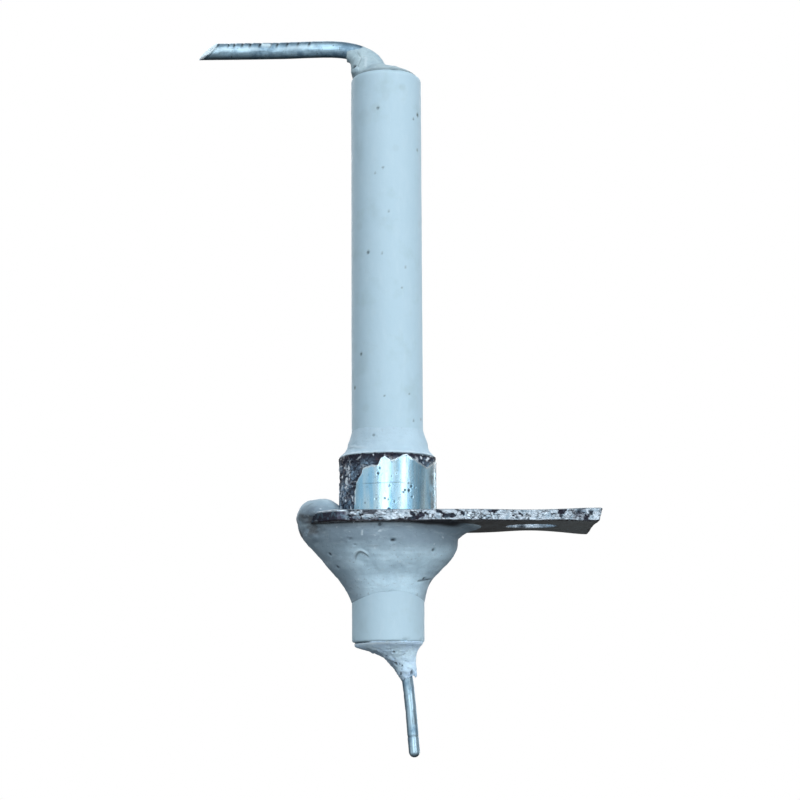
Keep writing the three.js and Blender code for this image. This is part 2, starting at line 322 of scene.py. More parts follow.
def oval_stack(sections, steps, lift=None, sides=96):
    """A closed body through level ovals of (z, left, right, half depth); lift raises its last end."""
    angles = full_turn(sides)
    z, left, right, depth = smooth_line(sections, steps).T[:, :, None]
    x = (left + right) / 2 + (right - left) / 2 * np.cos(angles)
    rings = np.stack(np.broadcast_arrays(x, depth * np.sin(angles), z), axis=-1).copy()
    if lift:
        rings[:, :, 2] += np.linspace(0, 1, steps)[:, None] ** 2 * lift(angles)
    return capped(rings, cap_rows=2)


def ball(centre, radii, sides=48):
    """A closed ellipsoid."""
    rows = np.radians(np.linspace(-84, 84, sides // 2))
    points, faces = capped(turned(np.stack([np.cos(rows), np.sin(rows)], axis=1), sides))
    return points * radii + centre, faces


def solid_rod(radius, bottom, top, sides=96):
    """A plain round bar about the axis."""
    return capped(turned([[radius, bottom], [radius, top]], sides))


def joined(bodies):
    """Several bodies as one. Points and faces."""
    faces = []
    start = 0
    for body_points, body_faces in bodies:
        faces += [[index + start for index in face] for face in body_faces]
        start += len(body_points)
    return np.vstack([body[0] for body in bodies]), faces


def linked(name, data):
    """A new object in the scene."""
    obj = bpy.data.objects.new(name, data)
    scene.collection.objects.link(obj)
    return obj


def mesh_of(points, faces):
    mesh = bpy.data.meshes.new("shape")
    mesh.from_pydata(points.tolist(), [], faces)
    return mesh


def evaluated(obj):
    """The object as its modifiers make it."""
    return obj.evaluated_get(bpy.context.evaluated_depsgraph_get())


def fused(bodies, voxel):
    """One even mesh over several overlapping closed bodies. Points, outward normals and faces."""
    rough = linked("rough", mesh_of(*joined(bodies)))
    remesh = rough.modifiers.new("fuse", "REMESH")
    remesh.mode = "VOXEL"
    remesh.voxel_size = voxel
    rough.modifiers.new("ease", "SMOOTH").iterations = 3
    mesh = evaluated(rough).data
    points = np.empty(len(mesh.vertices) * 3)
    mesh.vertices.foreach_get("co", points)
    normals = np.empty(len(mesh.vertices) * 3)
    mesh.vertex_normals.foreach_get("vector", normals)
    faces = [list(face.vertices) for face in mesh.polygons]
    bpy.data.objects.remove(rough)
    return points.reshape(-1, 3), normals.reshape(-1, 3), faces


def cut(obj, cutter):
    """Takes a closed body of points and faces, in millimetres, out of a finished piece."""
    points, faces = cutter
    tool = linked("tool", mesh_of(points * MM, faces))
    boolean = obj.modifiers.new("cut", "BOOLEAN")
    boolean.operation = "DIFFERENCE"
    boolean.solver = "MANIFOLD"
    boolean.object = tool
    result = bpy.data.meshes.new_from_object(evaluated(obj))
    obj.modifiers.clear()
    bpy.data.objects.remove(tool)
    if len(result.polygons):
        obj.data = result


def weld(obj):
    """Joins points that lie on each other and turns every face outwards."""
    work = bmesh.new()
    work.from_mesh(obj.data)
    bmesh.ops.remove_doubles(work, verts=work.verts, dist=1e-7)
    bmesh.ops.recalc_face_normals(work, faces=work.faces)
    work.to_mesh(obj.data)
    work.free()


def make_piece(name, shape, finish, replaced, masks, cutters=()):
    """A finished piece that stands for CAD nodes, with a number for each mask at each point."""
    points, faces = shape
    mesh = mesh_of(points * MM, faces)
    mesh.name = name
    for mask, values in masks.items():
        mesh.attributes.new(mask, "FLOAT", "POINT").data.foreach_set("value", values)
    mesh.materials.append(finish)
    obj = linked(name, mesh)
    for cutter in cutters:
        cut(obj, cutter)
    obj.data.shade_smooth()
    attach(obj, "root")
    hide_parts(*replaced)
    return obj


# ---- materials


def srgb(red, green, blue):
    """A colour of 0 to 255 values as the shader's linear numbers."""
    def linear(value):
        share = value / 255
        return share / 12.92 if share <= 0.04045 else ((share + 0.055) / 1.055) ** 2.4

    return linear(red), linear(green), linear(blue), 1.0


class Nodes:
    """A node tree built step by step; each method returns the socket it makes."""

    def __init__(self, tree):
        self.tree = tree

    def node(self, kind, inputs, output=0, **settings):
        made = self.tree.nodes.new(kind)
        for setting, value in settings.items():
            setattr(made, setting, value)
        for socket, value in inputs.items():
            if isinstance(value, bpy.types.NodeSocket):
                self.tree.links.new(value, made.inputs[socket])
            else:
                made.inputs[socket].default_value = value
        return made.outputs[output]

    def math(self, operation, first, second):
        return self.node("ShaderNodeMath", {0: first, 1: second}, operation=operation)

    def span(self, value, low, high, start=0.0, end=1.0, **settings):
        """A value's range low to high, turned into start to end."""
        inputs = {"Value": value, "From Min": low, "From Max": high, "To Min": start, "To Max": end}
        return self.node("ShaderNodeMapRange", inputs, **settings)

    def mix(self, share, first, second):
        """The first colour, with a share of 0 to 1 of the second."""
        return self.node("ShaderNodeMix", {0: share, 6: first, 7: second}, 2, data_type="RGBA")


class Finish(Nodes):
    """A material; a colour given to it is a socket or three values of 0 to 255."""

    def __init__(self, name, **values):
        self.material = bpy.data.materials.new(name)
        self.material.use_nodes = True
        super().__init__(self.material.node_tree)
        self.shader = self.tree.nodes["Principled BSDF"]
        for socket, value in values.items():
            self.shader.inputs[socket.replace("_", " ")].default_value = value
        place = self.node("ShaderNodeTexCoord", {}, "Object")
        self.place = self.vector("MULTIPLY", place, (1 / MM, 1 / MM, 1 / MM))

    def vector(self, operation, first, second):
        return self.node("ShaderNodeVectorMath", {0: first, 1: second}, operation=operation)

    def mask(self, name, share=1.0):
        """A mask of the mesh, weakened to a share."""
        full = self.node("ShaderNodeAttribute", {}, "Fac", attribute_name=name)
        return full if share == 1 else self.math("MULTIPLY", full, share)

    def marked(self, under, name, colour, share=1.0):
        """A colour over another one, by a mask of the mesh."""
        return self.mix(self.mask(name, share), under, colour)

    def noise(self, size, detail=3.0, rough=0.5, stretch=(1, 1, 1), where=None):
        """Noise of about 0 to 1 with lumps of that size in millimetres, stretched on each axis."""
        place = self.vector("DIVIDE", where or self.place, stretch)
        inputs = {"Vector": place, "Scale": 1 / size, "Detail": detail, "Roughness": rough}
        return self.node("ShaderNodeTexNoise", inputs, "Fac")

    def uneven(self, start, end, noise):
        """A number that wanders with the noise from start to end."""
        return self.span(noise, 0.3, 0.7, start, end)

    def mix(self, share, first, second):
        colours = [srgb(*colour) if isinstance(colour, tuple) else colour for colour in (first, second)]
        return super().mix(share, *colours)

    def patches(self, under, colour, share, noise, low, high):
        """A share of a colour where the noise rises from low to high."""
        return self.mix(self.span(noise, low, high, 0, share), under, colour)

    def bump(self, height, depth, below=None):
        """Bump of a 0 to 1 height over that depth in millimetres, on top of another bump."""
        inputs = {"Height": height, "Distance": depth * MM, "Strength": 1.0}
        if below:
            inputs["Normal"] = below
        return self.node("ShaderNodeBump", inputs)

    def done(self, **sockets):
        """The material, with these sockets linked to its shader."""
        for name, socket in sockets.items():
            self.tree.links.new(socket, self.shader.inputs[name.replace("_", " ")])
        return self.material


def ceramic_finish():
    """Matt fired alumina: near even, with faint mottling, specks, smudges and a fine tooth."""
    m = Finish("ceramic_matt")
    body = m.mix(m.noise(7, 4, 0.6), (173, 204, 221), (181, 210, 226))
    body = m.patches(body, (164, 194, 204), 0.4, m.noise(2.2, 4, 0.65), 0.54, 0.72)
    body = m.patches(body, (204, 224, 236), 0.16, m.noise(0.5, 3, 0.6, (1, 1, 4)), 0.5, 0.75)
    body = m.marked(body, "smudge", (150, 176, 184), 0.4)
    body = m.marked(body, "speck", (52, 66, 72))
    rough = m.uneven(0.5, 0.62, m.noise(1.1, 4, 0.6))
    tooth = m.bump(m.noise(0.16, 3, 0.6), 0.007)
    return m.done(Base_Color=body, Roughness=rough, Normal=m.bump(m.noise(1.3, 3, 0.5), 0.02, tooth))


def cement_finish(name, pale, dark, specks):
    """Hand-applied refractory cement: dull, mottled and gritty, with dirt patches, chalky specks, painted
    shade in its pits, gaps, folds and shaded parts, and painted highlights.
    """
    m = Finish(name)
    body = m.patches(dark, pale, 1, m.noise(2.2, 5, 0.65), 0.38, 0.62)
    body = m.marked(body, "shade", (112, 132, 148))
    body = m.patches(body, (190, 212, 224), 0.3, m.noise(0.45, 3, 0.6, (3, 3, 1)), 0.54, 0.74)
    body = m.patches(body, (84, 100, 112), specks, m.noise(0.28, 2, 0.5), 0.62, 0.72)
    # dirt patches, with painted shade just under the plate's front and at the fillet's foot
    body = m.marked(body, "shade_and_grime", (66, 66, 64), 0.85)
    # pits, cracks, voids and gaps are painted dark: painted shade in them
    body = m.marked(body, "pit", (30, 36, 42))
    # chalky specks, with painted highlights on the cone's flap and along the plug's top edge
    body = m.marked(body, "chalk_and_highlight", (206, 224, 234))
    rough = m.uneven(0.66, 0.9, m.noise(0.8, 3, 0.6))
    grit = m.bump(m.noise(0.13, 3, 0.65), 0.018)
    wiped = m.bump(m.noise(0.3, 3, 0.6, (5, 5, 1)), 0.024, grit)
    return m.done(Base_Color=body, Roughness=rough, Normal=wiped)


def wire_finish(name, bright, dull, sheen):
    """Drawn steel wire with fine lengthways lines, scuffs and dull stains, and painted shade and painted
    highlights from its masks.
    """
    m = Finish(name)
    where = m.node("ShaderNodeCombineXYZ", {"X": m.mask("along"), "Y": m.mask("across")})
    lines = m.noise(0.07, 3, 0.6, (30, 1, 1), where)
    stain = m.noise(1.4, 4, 0.65)
    body = m.patches(bright, dull, 1, stain, 0.42, 0.62)
    body = m.patches(body, (84, 98, 112), 0.35, lines, 0.5, 0.72)
    body = m.patches(body, (60, 66, 76), 0.6, m.noise(0.3, 2, 0.5), 0.66, 0.74)
    # dark: painted shade in nicks and grooves, under the rod and at its cut, with scuffs on the pin
    body = m.marked(body, "dark", (34, 38, 44))
    # a worn patch and painted highlights: lighter and less metallic
    body = m.marked(body, "wear_and_highlight", (206, 232, 244))
    rough = m.math("ADD", m.span(stain, 0.35, 0.65, sheen, sheen + 0.16), m.uneven(0, 0.1, lines))
    metal = m.span(m.mask("wear_and_highlight"), 0, 1, 1, 0.2)
    dents = m.bump(m.noise(0.4, 3, 0.6), 0.012, m.bump(lines, 0.006))
    return m.done(Base_Color=body, Metallic=metal, Roughness=rough, Normal=dents)


def plate_finish():
    """Plated sheet steel: flaked bright plating on the sheared edge, stains underneath, and an underside
    painted darker as shade, lighter towards its right end as painted light, with a painted shadow near the
    cone.
    """
    m = Finish("bracket_plated_steel")
    flat = m.patches((144, 158, 170), (180, 194, 204), 1, m.noise(1.8, 5, 0.65), 0.38, 0.62)
    flat = m.patches(flat, (92, 92, 90), 0.45, m.noise(0.5, 3, 0.6), 0.58, 0.7)
    # the underside's darker colour is painted shade, with stains
    under = m.patches((72, 74, 74), (106, 110, 112), 1, m.noise(1.5, 5, 0.65), 0.38, 0.62)
    # painted light: the underside lighter towards the right end
    under = m.marked(under, "flake", (132, 140, 142))
    under = m.patches(under, (86, 74, 62), 0.8, m.noise(0.6, 3, 0.6), 0.55, 0.7)
    edge = m.marked((70, 72, 88), "flake", (218, 236, 250))
    edge = m.patches(edge, (118, 148, 168), 0.6, m.noise(0.5, 4, 0.65), 0.48, 0.6)
    body = m.mix(m.mask("edge"), m.mix(m.mask("under"), flat, under), edge)
    body = m.marked(body, "crack", (22, 20, 30))
    body = m.marked(body, "rust", (58, 44, 42))
    metal = m.math("SUBTRACT", 0.9, m.mask("under", 0.5))
    rough = m.uneven(0.34, 0.6, m.noise(0.35, 3, 0.6))
    dents = m.bump(m.noise(1.1, 4, 0.6), 0.04, m.bump(m.noise(0.14, 3, 0.6), 0.014))
    return m.done(Base_Color=body, Metallic=metal, Roughness=rough, Normal=dents)


def collar_finish():
    """Bright zinc skin with vertical tone bands and pits, torn away over dark flaky steel, with painted
    highlights on the torn edge and ridges and painted shade in the pits and scratch.
    """
    m = Finish("collar_zinc_skin")
    skin = m.patches((164, 220, 252), (208, 240, 253), 1, m.noise(0.9, 4, 0.6, (1, 1, 7)), 0.36, 0.62)
    skin = m.patches(skin, (112, 150, 176), 0.5, m.noise(0.3, 3, 0.6), 0.6, 0.72)
    # darker towards the right side and a little towards the left
    side_darkening = m.math("MULTIPLY", m.mask("side_darkening"), m.span(m.noise(0.8, 4, 0.6), 0.3, 0.62, 0.25, 0.8))
    skin = m.mix(side_darkening, skin, (104, 104, 104))
    torn = m.marked((26, 30, 48), "facet", (142, 174, 202))
    torn = m.patches(torn, (40, 42, 56), 0.6, m.noise(0.28, 3, 0.65), 0.46, 0.62)
    torn = m.patches(torn, (84, 66, 72), 0.6, m.noise(0.9, 3, 0.6), 0.56, 0.68)
    torn = m.marked(torn, "flake", (226, 238, 248))
    body = m.mix(m.mask("skin"), torn, skin)
    # painted highlight along the curled torn edge
    body = m.marked(body, "rim", (240, 250, 255))
    # painted shade in the pits and the scratch
    body = m.marked(body, "pit", (46, 62, 76))
    bare = m.math("SUBTRACT", 1.0, m.mask("skin"))
    rough_skin = m.uneven(0.2, 0.32, m.noise(0.5, 3, 0.6, (1, 1, 4)))
    rough = m.math("ADD", rough_skin, m.math("MULTIPLY", bare, 0.3))
    grain = m.bump(m.noise(0.12, 3, 0.6, (1, 1, 3)), 0.006)
    waves = m.bump(m.noise(0.8, 3, 0.5, (1, 1, 5)), 0.02, grain)
    metal = m.span(m.mask("skin"), 0, 1, 0.45, 1)
    return m.done(Base_Color=body, Metallic=metal, Roughness=rough, Normal=waves)


def brass_finish():
    """The hidden crimp sleeve: plain brass with turning lines and dull patches."""
    m = Finish("sleeve_brass_plain", Metallic=1.0)
    body = m.mix(m.noise(1.2, 4, 0.6), (196, 158, 84), (150, 116, 62))
    rough = m.uneven(0.3, 0.5, m.noise(0.4, 3, 0.6))
    return m.done(Base_Color=body, Roughness=rough, Normal=m.bump(m.noise(0.1, 2, 0.5, (8, 8, 1)), 0.01))


# ---- ceramic tube

# The specks and smudges that stand out: degrees about the tube, height, size and strength.
CERAMIC_SPECKS = [
    (-13, 40.1, 0.2, 0.8), (64, 39.9, 0.3, 0.8), (51, 39.3, 0.16, 0.7), (-5, 34, 0.16, 0.6),
    (-18, 33.5, 0.14, 0.5), (4, 29.6, 0.14, 0.5), (-31, 25.6, 0.24, 0.8), (-7, 25.4, 0.14, 0.5),
    (32, 24.1, 0.14, 0.5), (25, 22, 0.14, 0.5), (-46, 15.6, 0.22, 0.8), (-64, 12.4, 0.24, 0.8),
    (-4, 11.3, 0.14, 0.6), (38, 11.6, 0.14, 0.6), (47, 9.0, 0.18, 0.5), (70, 9.3, 0.2, 0.5),
]
CERAMIC_SMUDGES = [
    (-18, 40.1, 0.7, 0.5), (28, 42.3, 0.5, 0.6), (-49, 28.4, 0.6, 0.5), (16, 36, 0.5, 0.4),
    (-37, 10.2, 0.6, 0.5), (52, 11.3, 0.5, 0.5), (-22, 7.6, 0.4, 0.5),
]
TUBE_TOP_ROUNDING = 0.55
TUBE_BOTTOM_ROUNDING = 0.2


def ceramic_tube():
    profile = densify(np.vstack([
        arc([TUBE_RADIUS - TUBE_BOTTOM_ROUNDING, TUBE_BOTTOM + TUBE_BOTTOM_ROUNDING],
            TUBE_BOTTOM_ROUNDING, -90, 0, 6),
        arc([TUBE_RADIUS - TUBE_TOP_ROUNDING, TUBE_TOP - TUBE_TOP_ROUNDING], TUBE_TOP_ROUNDING, 0, 90, 10),
    ]), spacing=0.145)
    profile = np.vstack([[TUBE_BORE, TUBE_BOTTOM], profile, [TUBE_BORE, TUBE_TOP]])
    points, faces = closed_turned(profile, sides=220)
    z = points[:, 2]
    outside = ramp(from_axis(points), TUBE_BORE, TUBE_RADIUS - 0.3)
    scattered = scattered_pits(points, 2.1, 0.3, 11) * ramp(noise(points, 5, 12), -0.4, 0.3)
    speck = most(spots_round(points, CERAMIC_SPECKS, TUBE_RADIUS), 0.45 * ramp(scattered, 0.9, 1))
    clouds = ramp(fractal(points, (2.4, 2.4, 3.6), 4, 21), 0.35, 0.75)
    smudge = most(spots_round(points, CERAMIC_SMUDGES, TUBE_RADIUS), 0.5 * clouds)
    from_end = np.minimum(z - TUBE_BOTTOM, TUBE_TOP - z)
    chips = ramp(from_end, 0.45, 0) * ramp(fractal(points, 0.8, 3, 5), 0.1, 0.6)
    wobble = 0.018 * fractal(points, 8, 3, 1) + 0.006 * noise(points, 0.6, 4)
    points = pushed_out(points, (wobble - 0.03 * speck - 0.12 * chips) * outside)
    make_piece("ceramic_body", (points, faces), ceramic_finish(), ["ceramic_tube"],
               {"speck": speck * outside, "smudge": most(smudge, 0.7 * chips) * outside})


# ---- wires

ROD_ROUTE = [[-17.9, 47.05], [-11, 47.12], [-4.6, 47.19], [-2.6, 46.75], [-1.6, 46.1], [-1.12, 45.4],
             [-0.92, 44.6], [-0.8, 42], [-0.5, 32], [-0.1, 22], [-0.1, 13.3]]
PIN_ROUTE = [[-0.1, 12.7], [-0.1, 7], [0.2, -4], [1.35, -12.2], [2.03, -17.5], [2.45, -22.65]]
# Plier marks on the spark rod: X of each, depth, and degrees round from the rod's top.
ROD_NICKS = [(-16.2, 0.08, 46), (-15.3, 0.09, 48), (-14.4, 0.08, 44), (-13.6, 0.11, 48), (-12.65, 0.13, 50),
             (-11.6, 0.1, 54), (-10.9, 0.08, 54), (-9.9, 0.09, 50), (-8.8, 0.06, 52), (-7.7, 0.07, 56)]
WIRE_STEP = 0.09
ROD_SIDES = 72
PIN_SIDES = 56
TIP_CUT_SIDEWAYS = 0.8  # how far the cut runs back per millimetre across the rod
TIP_CUT_UPWARD = 0.88  # and per millimetre up the rod
PIN_GROOVE_FROM_END = 1.46


def wire_rings(centres, radii, sides):
    """Rings square to a route in the XZ plane; each point's way outwards and degrees from the top."""
    heading = np.gradient(centres, axis=0)
    heading /= lengths(heading)[:, None]
    level = np.zeros(len(centres))
    up = np.column_stack([-heading[:, 1], level, heading[:, 0]])[:, None]
    middle = np.column_stack([centres[:, 0], level, centres[:, 1]])[:, None]
    angles = full_turn(sides)
    outwards = up * np.cos(angles)[:, None] + np.array([0.0, -1.0, 0.0]) * np.sin(angles)[:, None]
    rings = middle + outwards * np.broadcast_to(radii, len(centres))[:, None, None]
    return rings, outwards, np.tile(np.degrees(angles), len(centres))


def swollen(rings, outwards, depth):
    """The rings with each point moved outwards by its own depth."""
    return rings + outwards * depth.reshape(rings.shape[:2])[:, :, None]


def with_caps(values, sides, first=0.0, last=0.0, middles=(0.0, 0.0)):
    """A mask for all the points that capped makes: first cap, rings, last cap, the two middles."""
    cap = (CAP_ROWS - 1) * sides
    return np.concatenate([np.broadcast_to(first, cap), values, np.broadcast_to(last, cap), middles])


def wire_masks(length, radius, sides):
    """Distance along and across the wire's skin."""
    # counted from the underside up to the top on both sides, so that there is no seam
    across = radius * np.abs(np.linspace(-np.pi, np.pi, sides, endpoint=False))
    cap = np.tile(across, CAP_ROWS - 1)
    return {
        "along": with_caps(np.repeat(length, sides), sides, length[0], length[-1], length[[0, -1]]),
        "across": with_caps(np.tile(across, len(length)), sides, cap, cap),
    }


def spark_rod():
    centres, length = wire_route(ROD_ROUTE, WIRE_STEP)
    rings, outwards, turn = wire_rings(centres, ROD_RADIUS, ROD_SIDES)
    flat = rings.reshape(-1, 3)
    x = flat[:, 0]
    level = np.repeat(ramp(length, 15.5, 12.5), ROD_SIDES)
    depth = 0.012 * fractal(flat, (2.5, 0.8, 0.8), 3, 31) + 0.004 * noise(flat, (0.5, 0.1, 0.1), 33)
    dark = np.zeros(len(flat))
    for nick_x, deep, nick_turn in ROD_NICKS:
        lean = x - nick_x + 0.12 * (turn - nick_turn) / 30
        patch = level * bell(turn - nick_turn, 30)
        depth -= patch * deep * (bell(lean, 0.1) - 0.4 * bell(lean - 0.24, 0.1))
        dark = most(dark, 0.95 * patch * bell(lean, 0.1))
    worn = between(x, -12.6, -12.4, -11.6, -11.4) * bell(turn - 56, 20)
    under_marks = bell(turn - 120, 16) * ramp(noise(flat * [1, 0, 0], 0.42, 35), 0.2, 0.7)
    depth -= 0.03 * (worn + under_marks) * level
    rings = swollen(rings, outwards, depth)
    # the tip is cut off slantwise: rings near it lean with the cut
    cut_line = TIP_CUT_UPWARD * (rings[:, :, 2] - centres[:, 1:]) - TIP_CUT_SIDEWAYS * rings[:, :, 1]
    rings[:, :, 0] += ramp(length, 3.2, 0)[:, None] * cut_line
    points, faces = capped(rings, CAP_ROWS)
    masks = wire_masks(length, ROD_RADIUS, ROD_SIDES)
    # painted shade on the rod's underside
    shade_and_grime = level * between(turn, 140, 170, 200, 300)
    outline = np.repeat(bell(length - 0.12, 0.1), ROD_SIDES)
    cut_foot = ramp(points[:(CAP_ROWS - 1) * ROD_SIDES, 2], 46.85, 46.6)
    # painted shade in the nicks, in a ring behind the cut and on the cut face's foot
    masks["dark"] = with_caps(most(dark, 0.5 * shade_and_grime, 0.7 * outline), ROD_SIDES, 0.85 * cut_foot)
    # painted highlight patches along the rod's front
    highlight_patches = 0.6 * ramp(noise(flat, (1.5, 0.5, 0.5), 36), -0.3, 0.5) * bell(turn - 88, 20) * level
    # painted highlight on the cut face
    cut_face_highlight = 0.9 * (1 - cut_foot)
    masks["wear_and_highlight"] = with_caps(most(worn, highlight_patches) * level, ROD_SIDES, cut_face_highlight, middles=(0.9, 0))
    finish = wire_finish("rod_drawn_steel", (184, 220, 240), (134, 168, 192), 0.36)
    make_piece("rod_wire", (points, faces), finish, ["spark_rod"], masks)


def terminal_pin():
    centres, length = wire_route(PIN_ROUTE, WIRE_STEP)
    heading = centres[-1] - centres[-2]
    heading /= np.linalg.norm(heading)
    # the rounded end: how far each of its rings is past the route's last point
    past = PIN_RADIUS * np.sin(np.radians(np.linspace(12, 78, 8)))
    groove = length[-1] - PIN_GROOVE_FROM_END
    radii = np.concatenate([np.full(len(length), PIN_RADIUS), np.sqrt(PIN_RADIUS**2 - past**2)])
    centres = np.vstack([centres, centres[-1] + heading * past[:, None]])
    length = np.concatenate([length, length[-1] + past])
    groove_mark = bell(length - groove, 0.09)
    rings, outwards, _ = wire_rings(centres, radii - 0.035 * groove_mark, PIN_SIDES)
    flat = rings.reshape(-1, 3)
    scuff = ramp(noise(flat, (0.5, 0.5, 0.9), 41), 0.35, 0.6) * ramp(flat[:, 2], -15, -16)
    rings = swollen(rings, outwards, 0.012 * fractal(flat, (0.7, 0.7, 2), 3, 42) - 0.02 * scuff)
    masks = wire_masks(length, PIN_RADIUS, PIN_SIDES)
    # painted shade in the groove, and darker scuffs
    masks["dark"] = with_caps(most(np.repeat(0.4 * groove_mark, PIN_SIDES), 0.3 * scuff), PIN_SIDES)
    masks["wear_and_highlight"] = 0 * masks["dark"]
    finish = wire_finish("pin_bright_steel", (184, 216, 234), (142, 178, 202), 0.26)
    make_piece("pin_wire", capped(rings, CAP_ROWS), finish, ["terminal_pin"], masks)


# ---- bracket plate

PLATE_CORNER = 0.25
PLATE_SPACING = 0.07  # between points along the visible edges
PLATE_FACE_SPACING = 0.24
PLATE_EDGE_ROWS = 24


def plate_outline(grow=0.0, spacing=PLATE_SPACING):
    """The plate's outline as points in X and Y, counter-clockwise from its lower right corner."""
    width = PLATE_HALF_WIDTH + grow
    corner_x = PLATE_RIGHT + grow - PLATE_CORNER
    end = math.degrees(math.asin(PLATE_HALF_WIDTH / PLATE_END_RADIUS))
    line = np.vstack([
        arc([corner_x, PLATE_CORNER - width], PLATE_CORNER, -90, 0, 8),
        arc([corner_x, width - PLATE_CORNER], PLATE_CORNER, 0, 90, 8),
        arc([0, 0], PLATE_END_RADIUS + grow, 180 - end, 180 + end, 60),
        [[corner_x, -width]],
    ])
    return densify(line, spacing)[:-1]


def circle(x, radius, spacing):
    """Points on a circle round a point of the plate's middle line."""
    angles = full_turn(math.ceil(2 * math.pi * radius / spacing))
    return np.stack([x + radius * np.cos(angles), radius * np.sin(angles)], axis=1)


def line_normals(line):
    """Outward directions of a closed counter-clockwise line."""
    run = np.roll(line, -1, axis=0) - np.roll(line, 1, axis=0)
    side = np.stack([run[:, 1], -run[:, 0]], axis=1)
    return side / lengths(side)[:, None]


def inside_line(points, line):
    """True for each point inside a closed line."""
    x, y = points.T
    inside = np.zeros(len(points), bool)
    for (x1, y1), (x2, y2) in zip(line, np.roll(line, -1, axis=0)):
        crosses = (y1 > y) != (y2 > y)
        if crosses.any():
            inside ^= crosses & (x < x1 + (y - y1) * (x2 - x1) / (y2 - y1 + 1e-12))
    return inside


def on_plate(points, rims, margin, slack=0.0):
    """True for each point inside the outline and outside the holes, with a margin."""
    outline, *holes = rims
    keep = inside_line(points, outline - line_normals(outline) * margin)
    for hole in holes:
        middle = hole.mean(axis=0)
        keep &= lengths(points - middle) > np.linalg.norm(hole[0] - middle) + margin - slack
    return keep


def plate_face(rims, z, seed):
    """A flat face between an outline and its holes, filled with inner points. Points and faces."""
    spacing = PLATE_FACE_SPACING
    x, y = np.meshgrid(np.arange(-9, 21, spacing), np.arange(-7, 7, spacing))
    filling = np.stack([x.ravel(), y.ravel()], axis=1)
    cell = np.round(np.column_stack([filling * 100, 0 * x.ravel()]))
    shift = np.stack([lattice(cell, seed + axis) for axis in range(2)], axis=1)
    filling += (shift - 0.5) * 0.4 * spacing
    points = np.vstack([*rims, filling[on_plate(filling, rims, 0.6 * spacing)]])
    edges = []
    start = 0
    for rim in rims:
        count = len(rim)
        edges += [(start + index, start + (index + 1) % count) for index in range(count)]
        start += count
    flat, _, faces, *_ = delaunay_2d_cdt([Vector(point) for point in points], edges, [], 1, 1e-7)
    flat = np.array([list(point) for point in flat])
    middles = np.array([flat[list(face)].mean(axis=0) for face in faces])
    wanted = on_plate(middles, rims, 0, slack=1e-3)
    faces = [list(face) for face, keep in zip(faces, wanted) if keep]
    return np.column_stack([flat, np.full(len(flat), z)]), faces


def plate_warp(points):
    """How far the plate is bent up or down, from handling and from shearing."""
    x, y, z = points.T
    near = ramp(-y, 0.5, 6.5)
    far = ramp(y, 0.5, 6.5)
    bend = -0.1 * near * bell(x - 13.5, 3.6) + 0.22 * far * bell(x - 14, 3.2)
    thicker = z / PLATE_BOTTOM * ramp(x, 15.5, 20) * near
    return bend - 0.2 * far * bell(x - 20, 2.2) + 0.05 * near * bell(x - 19.5, 2) - 0.22 * thicker


def plate_wall(rim, rows, hole):
    """Rings of a plate edge from top to bottom, each row's share of the way, and the way outwards."""
    share = np.linspace(0, 1, rows)
    rolled = 0.13 * (1 - np.sqrt(1 - (1 - np.minimum(share / 0.13, 1)) ** 2))
    broken = 0.05 * ramp(share, 0.94, 1)
    out = line_normals(rim) * (-1 if hole else 1)
    shear = (0 if hole else 0.4) * ramp(rim[:, 0], PLATE_RIGHT - 1.2, PLATE_RIGHT - 0.1)[:, None]
    flat = rim - out * (rolled + broken)[:, None, None] - shear * share[:, None, None] * [1, 0]
    z = np.broadcast_to((share * PLATE_BOTTOM)[:, None], flat.shape[:2])
    return np.concatenate([flat, z[:, :, None]], axis=2), share, out


def plate_edge(wall, share, out, hole):
    """A wall with its plating flaked off in places. Points, faces and masks."""
    points = wall.reshape(-1, 3)
    x, y, _ = points.T
    down = np.repeat(share, wall.shape[1])
    near, second, owner = cells(points, (0.36, 0.36, 0.26), 51)
    border = ramp(second - near, 0.16, 0.02)
    middle = between(down, 0.02, 0.1, 0.93, 1)
    missing = ramp(fractal(points, (1.1, 1.1, 0.6), 3, 55) + 0.5 * (owner - 0.5), 0.36, 0.48)
    dark_run = 0.8 * ramp(x, 0.6, -0.8) + 0.9 * bell(x - 18.1, 0.5)
    missing = most(missing, dark_run * ramp(fractal(points, (0.7, 0.7, 0.35), 2, 57), -0.45, -0.05))
    # a smooth dark panel at the left end, bright only along its top
    panel = ramp(x, -3.6, -4.1) * ramp(y, 0, -2)
    missing = most(missing * (1 - panel), panel * ramp(down, 0.14, 0.2))
    rough = 1 - 0.85 * panel
    offset = 0.05 * owner - 0.05 * border - 0.06 * missing + 0.012 * noise(points, 0.13, 58)
    offset *= middle * rough
    flake = (1 - missing) * most(0.6 + 0.4 * owner, panel)
    if hole:
        burr = bell(x - SCREW_HOLE_X + 0.9, 0.5) * ramp(y, 0, 1) * ramp(down, 0.45, 0.9)
        offset = 0.35 * offset + 0.22 * burr * (1 + 0.5 * noise(points, 0.25, 59))
        flake = most(flake, 0.8)
    directions = np.column_stack([np.tile(out, (len(share), 1)), np.zeros(len(points))])
    points = points + directions * offset[:, None]
    open_border = border * ramp(noise(points, 0.6, 60), -0.4, 0.3)
    crack = rough * most(open_border, 0.8 * missing * ramp(owner, 0.3, 0.6))
    # the panel's bottom is painted dark as the shadow of the gap under it
    crack = most(crack, panel * ramp(down, 0.82, 0.92))
    if hole:
        crack = most(0.3 * crack, 0.9 * burr)
    sheared_lip = (0 if hole else 0.9) * ramp(down, 0.86, 0.93) * ramp(noise(points, 0.9, 65), -0.9, -0.3)
    return points, grid_quads(*wall.shape[:2]), {
        "edge": middle, "flake": flake, "crack": most(crack * middle, sheared_lip),
        "under": ramp(down, 0.95, 1), "rust": 0.4 * ramp(down, 0.84, 0.97),
    }


